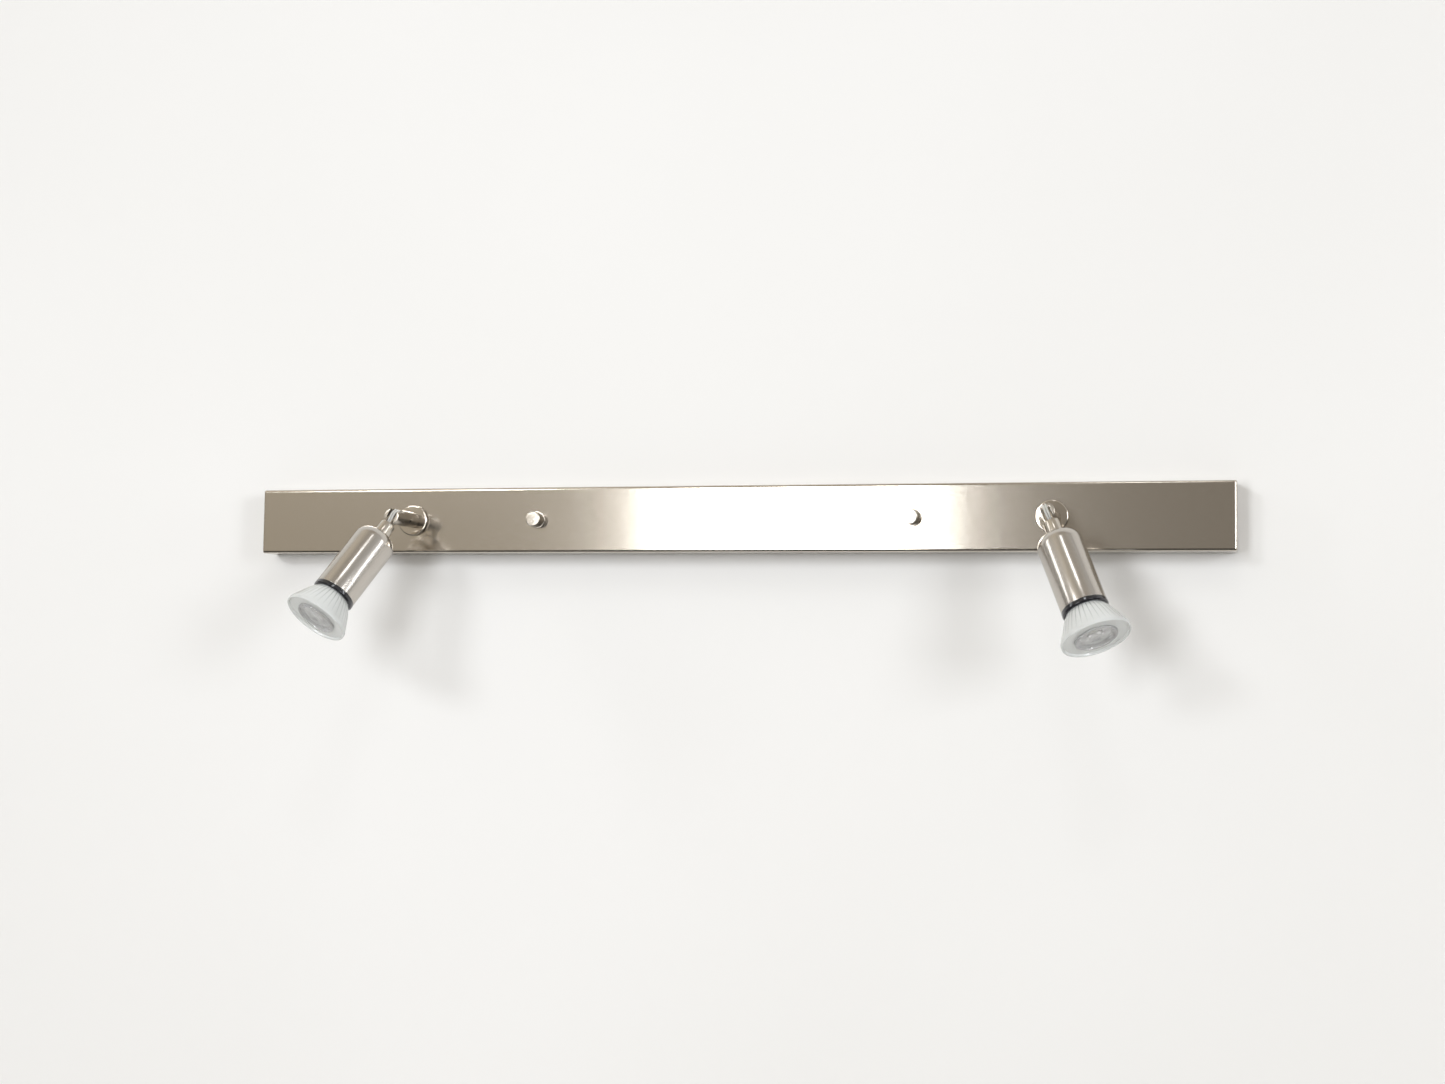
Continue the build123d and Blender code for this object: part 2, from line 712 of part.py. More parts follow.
# ---- Bulb ----
def make_bulb_shell(name, head):
    """A glass bowl with a flat ring round the lens and a raised rim."""
    bowl = [(glass_neck_radius, base_end), (glass_neck_radius + 1.2, ring_front - 2.5),
            (glass_neck_radius + 6.3, ring_front + 5.5), (bulb_radius, bulb_front - bulb_rim)]
    cup = [(radius - glass_wall, height) for radius, height in bowl]
    cup[-1] = (bulb_radius - glass_wall, face - glass_wall)
    with BuildPart() as shell:
        with BuildSketch(side_plane(head)) as profile:
            with BuildLine():
                Spline(*bowl)
                Polyline(bowl[-1], (bulb_radius, bulb_front), (bulb_radius - glass_wall, bulb_front),
                         (bulb_radius - glass_wall - 0.6, face), (lens_radius + running_fit, face),
                         (lens_radius + running_fit, face - glass_wall), cup[-1])
                Spline(*cup[::-1])
                Line(cup[0], bowl[0])
            make_face()
        revolve(profile.sketch, axis=axis_of(head))
    save(f"{name}_bulb_shell", shell)


def make_bulb_parts(name, head):
    with BuildPart() as lens:
        turn(head,
             (0, board_front + led_height + seat_gap), (board_radius, board_front + led_height + seat_gap),
             (lens_radius, face - lens_thickness), (lens_radius, face + lens_rise - lens_edge),
             (lens_radius - lens_edge, face + lens_rise), (0, face + lens_rise))
    save(f"{name}_bulb_lens", lens)
    with BuildPart() as base:
        bar(head, bulb_base_radius, holder_front + thrust_gap, base_end - glass_lap)
        bar(head, glass_neck_radius - glass_wall - running_fit, base_end - glass_lap, base_end + glass_lap)
        for place in pin_planes(head):
            bar(place, pin_shank_radius + running_fit, holder_front, holder_front + pin_root, Mode.SUBTRACT)
    save(f"{name}_bulb_base", base)
    head_end = holder_front - pin_length + pin_head_length
    with BuildPart() as pins:
        for place in pin_planes(head):
            bar(place, pin_head_radius, holder_front - pin_length, head_end)
            bar(place, pin_shank_radius, head_end, holder_front + pin_root - thrust_gap)
    save(f"{name}_bulb_pins", pins)
    with BuildPart() as sink:
        bar(head, heat_sink_radius, base_end + glass_lap, board_front - board_thickness)
    save(f"{name}_heat_sink", sink)
    with BuildPart() as board:
        bar(head, board_radius, board_front - board_thickness, board_front)
    save(f"{name}_led_board", board)
    with BuildPart() as leds:
        with BuildSketch(head.offset(board_front)):
            with PolarLocations(led_ring, 4):
                Rectangle(led_side, led_side)
        extrude(amount=led_height)
    save(f"{name}_leds", leds)


def make_lamp(name, side, pan, tilt):
    arm_frame = arm_plane(side, pan)
    head = head_plane(arm_frame, tilt)
    make_flange(name, side)
    make_lead_sleeve(name, side)
    make_arm(name, arm_frame)
    make_arm_fittings(name, arm_frame)
    make_knuckle(name, head)
    make_leads(name, arm_frame, head)
    make_sleeve(name, head)
    make_neck_fasteners(name, head)
    make_holder_bracket(name, head)
    make_holder(name, head)
    make_bulb_shell(name, head)
    make_bulb_parts(name, head)


def main():
    os.makedirs("parts", exist_ok=True)
    make_canopy()
    make_mounting_strap()
    make_canopy_fasteners()
    make_earth_screw()
    make_terminal_block()
    make_flange_fasteners()
    for name, (side, pan, tilt) in LAMPS.items():
        make_lamp(name, side, pan, tilt)


if __name__ == "__main__":
    main()
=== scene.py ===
"""The looks of a two-lamp spotlight bar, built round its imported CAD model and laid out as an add-on.

Every piece is made in metres in the CAD's own frame: X runs along the bar, Z is up and Y points into the
wall. Each lamp has two frames of its own, taken from the joints. The arm frame stands on the canopy's face
with z out of the wall. The head frame stands at the tilt pivot with z along the lamp, towards the bulb's
face. In both, y is the tilt joint's axis.
"""
import json
import math

import bmesh
import bpy
from mathutils import Matrix, Vector


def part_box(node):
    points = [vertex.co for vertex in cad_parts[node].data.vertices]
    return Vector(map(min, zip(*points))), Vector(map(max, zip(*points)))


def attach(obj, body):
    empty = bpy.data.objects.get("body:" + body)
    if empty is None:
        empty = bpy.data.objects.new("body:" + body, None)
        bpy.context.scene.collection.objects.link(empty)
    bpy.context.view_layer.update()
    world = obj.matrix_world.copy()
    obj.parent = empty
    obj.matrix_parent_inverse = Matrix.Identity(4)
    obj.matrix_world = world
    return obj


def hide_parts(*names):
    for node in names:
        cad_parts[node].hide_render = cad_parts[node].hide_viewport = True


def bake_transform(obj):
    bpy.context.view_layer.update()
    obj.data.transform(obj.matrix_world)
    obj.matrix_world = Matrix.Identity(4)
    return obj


bl_info = {
    "name": "Spotlight Bar",
    "version": (1, 0, 0),
    "blender": (4, 5, 0),
    "location": "View3D > Sidebar > Spotlight Bar",
    "description": "Builds the visible pieces, finishes and studio of a two-lamp spotlight bar",
    "category": "Add Mesh",
}

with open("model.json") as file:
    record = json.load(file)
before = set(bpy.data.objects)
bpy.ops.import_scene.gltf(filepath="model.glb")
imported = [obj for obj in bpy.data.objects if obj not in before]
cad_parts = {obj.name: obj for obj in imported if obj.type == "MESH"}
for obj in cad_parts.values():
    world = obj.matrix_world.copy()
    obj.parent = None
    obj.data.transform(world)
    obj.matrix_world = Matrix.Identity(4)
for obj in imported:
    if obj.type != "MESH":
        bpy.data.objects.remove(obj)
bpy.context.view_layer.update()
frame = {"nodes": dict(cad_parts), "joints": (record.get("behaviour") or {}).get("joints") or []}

MM = 0.001
SIDES = ("left", "right")
JOINTS = {joint["name"]: joint for joint in frame["joints"]}
AROUND = 128             # segments round a turned piece
ARC_STEPS = 6            # segments in a rounded corner of a profile


# ---------------------------------------------------------------- frames and measures
def placed(origin, along, hinge):
    """A matrix at the origin whose z is along and whose y is the hinge."""
    across = hinge.cross(along).normalized()
    matrix = Matrix((across, hinge, along)).transposed().to_4x4()
    matrix.translation = origin
    return matrix


def arm_frame(side):
    pan, tilt = JOINTS[f"{side}_pan"], JOINTS[f"{side}_tilt"]
    return placed(Vector(pan["pos_m"]), Vector(pan["axis"]), Vector(tilt["axis"]))


def head_frame(side):
    tilt, twist = JOINTS[f"{side}_tilt"], JOINTS[f"{side}_bulb_twist"]
    return placed(Vector(tilt["pos_m"]), Vector(twist["axis"]), Vector(tilt["axis"]))


def wall_frame(x):
    """On the wall behind x, with z out of the wall."""
    return placed(Vector((x, 0, 0)), Vector((0, -1, 0)), Vector((0, 0, 1)))


def pivot_height():
    return (Vector(JOINTS["left_tilt"]["pos_m"]) - Vector(JOINTS["left_pan"]["pos_m"])).length


class Span:
    """How far a CAD node reaches along a frame's z, and how far from that axis."""

    def __init__(self, node, matrix, near=None):
        inverse = matrix.inverted()
        points = [inverse @ vertex.co for vertex in frame["nodes"][node].data.vertices]
        if near:
            points = [p for p in points if math.hypot(p.x, p.y) < near]
        self.low = min(p.z for p in points)
        self.high = max(p.z for p in points)
        self.radius = max(math.hypot(p.x, p.y) for p in points)


# ---------------------------------------------------------------- mesh making
def rounded(outline):
    """Turns (radius, height, corner) points into plain points, with an arc at each corner above 0."""
    points = []
    count = len(outline)
    for i, (r, z, corner) in enumerate(outline):
        here = Vector((r, z))
        if corner <= 0 or i in (0, count - 1):
            points.append(here)
            continue
        before = Vector(outline[i - 1][:2]) - here
        after = Vector(outline[i + 1][:2]) - here
        half = before.angle(after) / 2
        reach = corner / math.tan(half)
        centre = here + (before.normalized() + after.normalized()).normalized() * (corner / math.sin(half))
        start = here + before.normalized() * reach - centre
        end = here + after.normalized() * reach - centre
        turn = start.angle_signed(end)
        for step in range(ARC_STEPS + 1):
            spin = Matrix.Rotation(-turn * step / ARC_STEPS, 2)
            points.append(centre + spin @ start)
    return points


def arc(centre, radius, start, end, steps):
    """Points of (radius, height) on an arc, with angles in degrees from the radial direction."""
    angles = [math.radians(start + (end - start) * i / steps) for i in range(steps + 1)]
    return [Vector((centre[0] + radius * math.cos(a), centre[1] + radius * math.sin(a))) for a in angles]


def turned(mesh, points, closed=True, around=AROUND, shape=None):
    """Adds a lathe-turned surface. shape(radius, height, angle) may change a point's radius."""
    on_axis = 0.0001 * MM
    rings = []
    for radius, height in points:
        if radius < on_axis:
            rings.append([mesh.verts.new((0, 0, height))])
            continue
        ring = []
        for i in range(around):
            angle = 2 * math.pi * i / around
            r = shape(radius, height, angle) if shape else radius
            ring.append(mesh.verts.new((r * math.cos(angle), r * math.sin(angle), height)))
        rings.append(ring)
    pairs = zip(rings, rings[1:] + rings[:1]) if closed else zip(rings, rings[1:])
    for low, high in pairs:
        if len(low) == 1 and len(high) == 1:
            continue
        for i in range(around):
            j = (i + 1) % around
            corners = [low[i % len(low)], low[j % len(low)], high[j % len(high)], high[i % len(high)]]
            mesh.faces.new(list(dict.fromkeys(corners)))


def smooth(data, crease):
    """Shades a mesh smooth but for edges sharper than the crease angle."""
    data.polygons.foreach_set("use_smooth", [True] * len(data.polygons))
    data.set_sharp_from_angle(angle=math.radians(crease))


def new_object(name, data):
    piece = bpy.data.objects.new(name, data)
    bpy.context.scene.collection.objects.link(piece)
    return piece


def finish_mesh(name, mesh, matrix=None, crease=35):
    """Makes an object from a bmesh, smooth but for its creases."""
    bmesh.ops.recalc_face_normals(mesh, faces=mesh.faces)
    data = bpy.data.meshes.new(name)
    mesh.to_mesh(data)
    mesh.free()
    smooth(data, crease)
    piece = new_object(name, data)
    if matrix:
        piece.matrix_world = matrix
    bpy.context.view_layer.update()
    return piece


def lathe(name, points, place, crease=35, **how):
    """A turned piece in its place."""
    mesh = bmesh.new()
    turned(mesh, points, **how)
    return finish_mesh(name, mesh, place, crease)


def cut(piece, tool):
    """Cuts the tool's shape out of the piece, and removes the tool."""
    modifier = piece.modifiers.new("cut", "BOOLEAN")
    modifier.operation = "DIFFERENCE"
    modifier.solver = "EXACT"
    modifier.object = tool
    apply_modifiers(piece)
    bpy.data.objects.remove(tool)


def apply_modifiers(piece):
    graph = bpy.context.evaluated_depsgraph_get()
    data = bpy.data.meshes.new_from_object(piece.evaluated_get(graph))
    old = piece.data
    piece.modifiers.clear()
    piece.data = data
    data.name = piece.name
    bpy.data.meshes.remove(old)


def soften(piece, width, angle=35):
    """Rounds the sharp edges of a machined piece a little, so that they catch the light."""
    bevel = piece.modifiers.new("bevel", "BEVEL")
    bevel.width = width
    bevel.segments = 2
    bevel.limit_method = "ANGLE"
    bevel.angle_limit = math.radians(angle)
    bevel.use_clamp_overlap = True
    bevel.miter_outer = "MITER_ARC"
    apply_modifiers(piece)
    smooth(piece.data, angle)


def finish_of(slot):
    """The finish made for a material slot of the record."""
    return bpy.data.materials[f"{slot}_finish"]


def seat(piece, slot, body, *nodes):
    """Gives the piece the finish made for its record slot and its body, and hides the CAD nodes that it stands
    for.
    """
    piece.data.materials.clear()
    piece.data.materials.append(finish_of(slot))
    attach(piece, body)
    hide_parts(*nodes)


# ---------------------------------------------------------------- shader groups and materials
def new_group(name, inputs, outputs):
    tree = bpy.data.node_groups.new(name, "ShaderNodeTree")
    for label, kind, default in inputs:
        socket = tree.interface.new_socket(label, in_out="INPUT", socket_type=kind)
        socket.default_value = default
    for label, kind in outputs:
        tree.interface.new_socket(label, in_out="OUTPUT", socket_type=kind)
    return tree, tree.nodes.new("NodeGroupInput"), tree.nodes.new("NodeGroupOutput")


def math_node(tree, operation, a, b=None, c=None, clamp=False):
    node = tree.nodes.new("ShaderNodeMath")
    node.operation = operation
    node.use_clamp = clamp
    for socket, value in zip(node.inputs, (a, b, c)):
        if isinstance(value, (int, float)):
            socket.default_value = value
        elif value is not None:
            tree.links.new(value, socket)
    return node.outputs[0]


def noise(tree, scale, detail):
    node = tree.nodes.new("ShaderNodeTexNoise")
    node.inputs["Scale"].default_value = scale
    node.inputs["Detail"].default_value = detail
    return node


def scaled(tree, value, factor, start):
    """The value times the factor, from the start up."""
    return math_node(tree, "MULTIPLY_ADD", value, factor, start)


def switch(tree, factor, first, second):
    """Sends the first shader to the output where the factor is 0 and the second where it is 1."""
    mix = tree.nodes.new("ShaderNodeMixShader")
    result = next(node for node in tree.nodes if node.type in ("OUTPUT_MATERIAL", "OUTPUT_WORLD"))
    for source, socket in ((factor, mix.inputs["Fac"]), (first, mix.inputs[1]), (second, mix.inputs[2]),
                           (mix.outputs["Shader"], result.inputs["Surface"])):
        tree.links.new(source, socket)


def brush_group():
    """Fine parallel scratches: noise stretched along one direction, in the piece's own coordinates."""
    tree, given, result = new_group("Brush Marks", [("Stretch", "NodeSocketVector", (40.0, 4000.0, 4000.0))],
                                    [("Marks", "NodeSocketFloat")])
    place = tree.nodes.new("ShaderNodeTexCoord")
    scale = tree.nodes.new("ShaderNodeVectorMath")
    scale.operation = "MULTIPLY"
    fine = noise(tree, 1.0, 3.0)
    fine.inputs["Roughness"].default_value = 0.6
    tree.links.new(place.outputs["Object"], scale.inputs[0])
    tree.links.new(given.outputs["Stretch"], scale.inputs[1])
    tree.links.new(scale.outputs[0], fine.inputs["Vector"])
    tree.links.new(fine.outputs["Fac"], result.inputs["Marks"])


def grain_group():
    """Moulded or sanded grain: even fine noise, with a slow change over the surface."""
    tree, given, result = new_group(
        "Fine Grain",
        [("Size", "NodeSocketFloat", 900.0), ("Patches", "NodeSocketFloat", 40.0)],
        [("Grain", "NodeSocketFloat"), ("Drift", "NodeSocketFloat")])
    place = tree.nodes.new("ShaderNodeTexCoord")
    fine = noise(tree, 1.0, 4.0)
    broad = noise(tree, 1.0, 2.0)
    for node, size in ((fine, "Size"), (broad, "Patches")):
        tree.links.new(place.outputs["Object"], node.inputs["Vector"])
        tree.links.new(given.outputs[size], node.inputs["Scale"])
    tree.links.new(fine.outputs["Fac"], result.inputs["Grain"])
    tree.links.new(broad.outputs["Fac"], result.inputs["Drift"])


def painted_shade_group():
    """Paints shade into the metal's colour in slots, bores and seams, where little light comes in."""
    tree, given, result = new_group(
        "Painted Hollow Shade", [("Colour", "NodeSocketColor", (1, 1, 1, 1)), ("Reach", "NodeSocketFloat", 0.004)],
        [("Colour", "NodeSocketColor")])
    shut = tree.nodes.new("ShaderNodeAmbientOcclusion")
    shut.samples = 6
    tree.links.new(given.outputs["Reach"], shut.inputs["Distance"])
    # Painted shade: the colour goes to a near-black brown where the ambient occlusion is dark.
    tone = ramp(tree, shut.outputs["AO"], (0.15, (0.10, 0.09, 0.08)), (0.62, (1, 1, 1)))
    mix = tree.nodes.new("ShaderNodeVectorMath")
    mix.operation = "MULTIPLY"
    tree.links.new(given.outputs["Colour"], mix.inputs[0])
    tree.links.new(tone, mix.inputs[1])
    tree.links.new(mix.outputs[0], result.inputs["Colour"])


def painted_flute_shade_group():
    """Painted shade: thin lines along the valleys of the bowl's flutes, darkest at the foot by the trim ring and
    fading towards the rim.
    """
    tree, given, result = new_group(
        "Painted Flute Shade", [("Flutes", "NodeSocketFloat", 36.0), ("Foot", "NodeSocketFloat", 0.08),
                        ("Height", "NodeSocketFloat", 0.02)],
        [("Lines", "NodeSocketFloat")])
    place = tree.nodes.new("ShaderNodeTexCoord")
    split = tree.nodes.new("ShaderNodeSeparateXYZ")
    tree.links.new(place.outputs["Object"], split.inputs["Vector"])
    angle = math_node(tree, "ARCTAN2", split.outputs["Y"], split.outputs["X"])
    wave = math_node(tree, "SINE", math_node(tree, "MULTIPLY", math_node(tree, "MULTIPLY", angle, 0.5),
                                             given.outputs["Flutes"]))
    valley = math_node(tree, "POWER", math_node(tree, "SUBTRACT", 1.0, math_node(tree, "ABSOLUTE", wave)), 6.0)
    rise = math_node(tree, "DIVIDE", math_node(tree, "SUBTRACT", split.outputs["Z"], given.outputs["Foot"]),
                     given.outputs["Height"])
    fade = math_node(tree, "SUBTRACT", 1.0, rise, clamp=True)
    tree.links.new(math_node(tree, "MULTIPLY", valley, fade, clamp=True), result.inputs["Lines"])


def group_node(tree, group, **values):
    node = tree.nodes.new("ShaderNodeGroup")
    node.node_tree = group
    for label, value in values.items():
        node.inputs[label].default_value = value
    return node


def ramp(tree, factor, *stops):
    """A colour ramp from (position, colour) stops."""
    node = tree.nodes.new("ShaderNodeValToRGB")
    for i, (position, colour) in enumerate(stops):
        element = node.color_ramp.elements[i] if i < 2 else node.color_ramp.elements.new(position)
        element.position = position
        element.color = (*colour, 1)
    tree.links.new(factor, node.inputs["Fac"])
    return node.outputs["Color"]


def spread(tree, factor, low, high):
    """Maps a 0 to 1 factor to a range of values."""
    node = tree.nodes.new("ShaderNodeMapRange")
    for label, value in (("From Min", 0.25), ("From Max", 0.75), ("To Min", low), ("To Max", high)):
        node.inputs[label].default_value = value
    tree.links.new(factor, node.inputs["Value"])
    return node.outputs["Result"]


def bump(tree, shader, height, strength, distance):
    node = tree.nodes.new("ShaderNodeBump")
    node.inputs["Strength"].default_value = strength
    node.inputs["Distance"].default_value = distance
    tree.links.new(height, node.inputs["Height"])
    tree.links.new(node.outputs["Normal"], shader.inputs["Normal"])


def bare_material(name):
    """The nodes of a new material that has only its Principled shader."""
    material = bpy.data.materials.new(f"{name}_finish")
    material.use_nodes = True
    return material.node_tree, material.node_tree.nodes["Principled BSDF"]


def shade(colour, factor):
    return tuple(min(1.0, c * factor) for c in colour)


def varied(tree, factor, colour, change):
    """The colour, darker where the factor is low and lighter where it is high."""
    return ramp(tree, factor, (0.3, shade(colour, 1 - change)), (0.7, shade(colour, 1 + change)))


def brushed_metal(name, colour, roughness, stretch, contrast=0.06, strength=0.015):
    """Metal with brush marks along the direction where stretch is small, and painted shade in its slots, bores
    and seams.
    """
    tree, shader = bare_material(name)
    marks = group_node(tree, bpy.data.node_groups["Brush Marks"], Stretch=stretch)
    shader.inputs["Metallic"].default_value = 1.0
    tone = varied(tree, marks.outputs["Marks"], colour, contrast)
    # Painted shade: the brushed colour is darkened in hollows by ambient occlusion.
    hollow = group_node(tree, bpy.data.node_groups["Painted Hollow Shade"])
    tree.links.new(tone, hollow.inputs["Colour"])
    tree.links.new(hollow.outputs["Colour"], shader.inputs["Base Color"])
    tree.links.new(spread(tree, marks.outputs["Marks"], roughness - 0.05, roughness + 0.05),
                   shader.inputs["Roughness"])
    bump(tree, shader, marks.outputs["Marks"], strength, 0.02 * MM)


def grained(name, colour, roughness, metallic=0.0, size=900.0, strength=0.08, change=0.06, coat=0.0):
    """Cast, plated, moulded or fired material with an even fine grain."""
    tree, shader = bare_material(name)
    grain = group_node(tree, bpy.data.node_groups["Fine Grain"], Size=size, Patches=45.0)
    shader.inputs["Metallic"].default_value = metallic
    shader.inputs["Coat Weight"].default_value = coat
    tree.links.new(varied(tree, grain.outputs["Drift"], colour, change), shader.inputs["Base Color"])
    tree.links.new(spread(tree, grain.outputs["Drift"], roughness * 0.85, roughness * 1.15),
                   shader.inputs["Roughness"])
    bump(tree, shader, grain.outputs["Grain"], strength, 0.03 * MM)


def glass_base(name, transmission, ior):
    """A glass or clear plastic with a faint ripple. Its colour and roughness are still plain."""
    tree, shader = bare_material(name)
    grain = group_node(tree, bpy.data.node_groups["Fine Grain"], Size=260.0, Patches=60.0)
    shader.inputs["Metallic"].default_value = 0.0
    shader.inputs["Transmission Weight"].default_value = transmission
    shader.inputs["IOR"].default_value = ior
    bump(tree, shader, grain.outputs["Grain"], 0.03, 0.1 * MM)
    return tree, shader, grain


def clear_glass(name, colour, roughness, transmission):
    """Pressed glass or clear plastic of one colour."""
    tree, shader, grain = glass_base(name, transmission, 1.48)
    tone = ramp(tree, grain.outputs["Drift"], (0.3, shade(colour, 0.98)), (0.7, colour))
    tree.links.new(tone, shader.inputs["Base Color"])
    tree.links.new(spread(tree, grain.outputs["Drift"], roughness * 0.8, roughness * 1.2),
                   shader.inputs["Roughness"])


# ---------------------------------------------------------------- sizes that a designer may change
def length(name, text, default):
    return bpy.props.FloatProperty(name=name, description=text, default=default, unit="LENGTH", precision=4)


def tint(name, text, default):
    return bpy.props.FloatVectorProperty(name=name, description=text, default=default, subtype="COLOR",
                                         min=0, max=1)


class BarSettings(bpy.types.PropertyGroup):
    bend: length("Bend", "Outer radius of the folded front edges", 0.002)
    corner: length("Corner", "Radius of the welded corners", 0.0015)
    sheet: length("Sheet", "Thickness of the canopy's sheet", 0.001)
    nut_edge: length("Nut edge", "Width of the bright chamfer on a cap nut", 0.0006)
    flange_edge: length("Flange edge", "Radius of the flange's rim", 0.0009)
    nickel: tint("Nickel", "Colour of the nickel plate", (0.60, 0.55, 0.48))


class LampSettings(bpy.types.PropertyGroup):
    slot: length("Slot", "Width of the slot between the arm's ears", 0.0066)
    slot_depth: length("Slot depth", "Depth of that slot from the arm's end", 0.0145)
    edge: length("Edge", "Softened edge of the machined pieces", 0.0002)
    wall: length("Wall", "Thickness of the sleeve's wall", 0.001)
    wire: length("Wire", "Radius of a wire over its sleeve", 0.0008)
    wire_pitch: length("Wire pitch", "Distance between the two wires", 0.0018)
    wrap: length("Wrap", "Radius at which the wires pass round the pivot", 0.0051)
    satin: tint("Satin", "Colour of the sleeves' satin nickel", (0.555, 0.52, 0.475))


class BulbSettings(bpy.types.PropertyGroup):
    glass: length("Glass", "Thickness of the bowl", 0.0013)
    flute_depth: length("Flute depth", "Depth of the flutes pressed in the bowl", 0.0003)
    flutes: bpy.props.IntProperty(name="Flutes", description="Number of flutes round the bowl", default=36,
                                  min=8)
    lens_groove: length("Lens groove", "Depth of the groove inside the lens's rim", 0.0009)
    pressed_glass: tint("Pressed glass", "Colour of the bowl", (0.98, 1.0, 0.99))
    # Painted shade: colour of the dark lines painted in the flutes next to the trim ring.
    painted_flute_shade: tint("Painted flute shade", "Colour of the thin lines in the flutes", (0.03, 0.10, 0.07))


class StudioSettings(bpy.types.PropertyGroup):
    wall_reach: length("Wall reach", "Half the width of the wall", 5.0)
    floor_drop: length("Floor drop", "Height from the floor to the bar", 2.4)
    paint: tint("Paint", "Lightest tone of the wall", (0.90, 0.895, 0.885))
    key: bpy.props.FloatProperty(name="Key", description="Power of the main soft light", default=14.6,
                                 unit="POWER")
    room: bpy.props.FloatProperty(name="Room", description="Brightness of the pale room", default=1.2)
    lens: bpy.props.FloatProperty(name="Lens", description="Focal length of the camera", default=50.2,
                                  unit="CAMERA")


SETTINGS = {"bar_sizes": BarSettings, "lamp_sizes": LampSettings, "bulb_sizes": BulbSettings,
            "studio_sizes": StudioSettings}


# ---------------------------------------------------------------- bar
def rounded_loop(mesh, low, high, y, inset, radius):
    """A ring of points on a rectangle with rounded corners, in the plane at y."""
    x0, x1, z0, z1 = low.x + inset, high.x - inset, low.z + inset, high.z - inset
    ring = []
    for cx, cz, start in ((x1 - radius, z1 - radius, 0), (x0 + radius, z1 - radius, 90),
                          (x0 + radius, z0 + radius, 180), (x1 - radius, z0 + radius, 270)):
        for i in range(ARC_STEPS + 1):
            angle = math.radians(start + 90 * i / ARC_STEPS)
            ring.append(mesh.verts.new((cx + radius * math.cos(angle), y, cz + radius * math.sin(angle))))
    return ring


def join_loops(mesh, rings):
    for low, high in zip(rings, rings[1:]):
        for i in range(len(low)):
            j = (i + 1) % len(low)
            mesh.faces.new((low[i], low[j], high[j], high[i]))


def canopy_mesh(sizes):
    """A folded box, open at the back, with its sheet's thickness inside."""
    low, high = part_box("canopy")
    mesh = bmesh.new()
    steps = 8
    support = 0.2 * sizes.bend
    front = low.y

    def side(wall, bend, corner):
        rings = [(high.y, wall, corner), (front + wall + bend + support, wall, corner)]
        for i in range(steps + 1):
            angle = math.radians(90 * i / steps)
            rings.append((front + wall + bend * (1 - math.sin(angle)), wall + bend * (1 - math.cos(angle)),
                          max(corner * math.cos(angle), 0.1 * corner)))
        rings.append((front + wall, wall + bend + support, 0.1 * corner))
        return [rounded_loop(mesh, low, high, *ring) for ring in rings]

    outside = side(0, sizes.bend, sizes.corner)
    inside = side(sizes.sheet, sizes.bend - sizes.sheet, sizes.corner - sizes.sheet)
    join_loops(mesh, inside[::-1] + outside)
    mesh.faces.new(outside[-1])
    mesh.faces.new(inside[-1])
    return mesh


class SPOTBAR_OT_canopy(bpy.types.Operator):
    """Fold the brushed canopy"""
    bl_idname = "spotbar.canopy"
    bl_label = "Canopy"

    def execute(self, context):
        piece = finish_mesh("canopy_shell", canopy_mesh(context.scene.bar_sizes), crease=50)
        seat(piece, "nickel_bar", "bar", "canopy")
        return {"FINISHED"}


class SPOTBAR_OT_cap_nuts(bpy.types.Operator):
    """Turn the two cap nuts and their washers"""
    bl_idname = "spotbar.cap_nuts"
    bl_label = "Cap nuts"

    def execute(self, context):
        sizes = context.scene.bar_sizes
        low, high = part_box("cap_nuts")
        reach = (high.x - low.x) / 2 - (high.z - low.z) / 2
        for side, x in (("left", -reach), ("right", reach)):
            place = wall_frame(x)
            washer = Span("cap_washers", place, near=0.02)
            nut = Span("cap_nuts", place, near=0.02)
            bore = 0.4 * nut.radius
            hollow = nut.high - 2 * MM
            points = rounded([(0, nut.high, 0), (nut.radius - sizes.nut_edge, nut.high, 0.1 * MM),
                              (nut.radius, nut.high - sizes.nut_edge, 0.1 * MM), (nut.radius, nut.low, 0.1 * MM),
                              (bore, nut.low, 0), (bore, hollow, 0), (0, hollow, 0)])
            piece = lathe(f"{side}_cap_nut", points, place, crease=25, closed=False)
            seat(piece, "nickel", "bar", "cap_nuts")
            points = rounded([(bore, washer.low, 0), (washer.radius, washer.low, 0.1 * MM),
                              (washer.radius, washer.high, 0.25 * MM), (bore, washer.high, 0)])
            seat(lathe(f"{side}_cap_washer", points, place), "nickel", "bar", "cap_washers")
        return {"FINISHED"}


class SPOTBAR_OT_flanges(bpy.types.Operator):
    """Turn the polished flanges that carry the arms"""
    bl_idname = "spotbar.flanges"
    bl_label = "Flanges"

    def execute(self, context):
        sizes = context.scene.bar_sizes
        for side in SIDES:
            place = arm_frame(side)
            whole = Span(f"{side}_flange", place)
            thickness, nipple, spigot, bore = 3 * MM, 5 * MM, 4.5 * MM, 3 * MM
            points = rounded([(bore, whole.low, 0), (nipple, whole.low, 0.3 * MM), (nipple, 0, 0),
                              (whole.radius, 0, 0.1 * MM), (whole.radius, thickness, sizes.flange_edge),
                              (spigot, thickness, 0), (spigot, whole.high, 0.3 * MM), (bore, whole.high, 0)])
            piece = lathe(f"{side}_flange_disc", points, place)
            seat(piece, "nickel_polished", "bar", f"{side}_flange")
        return {"FINISHED"}


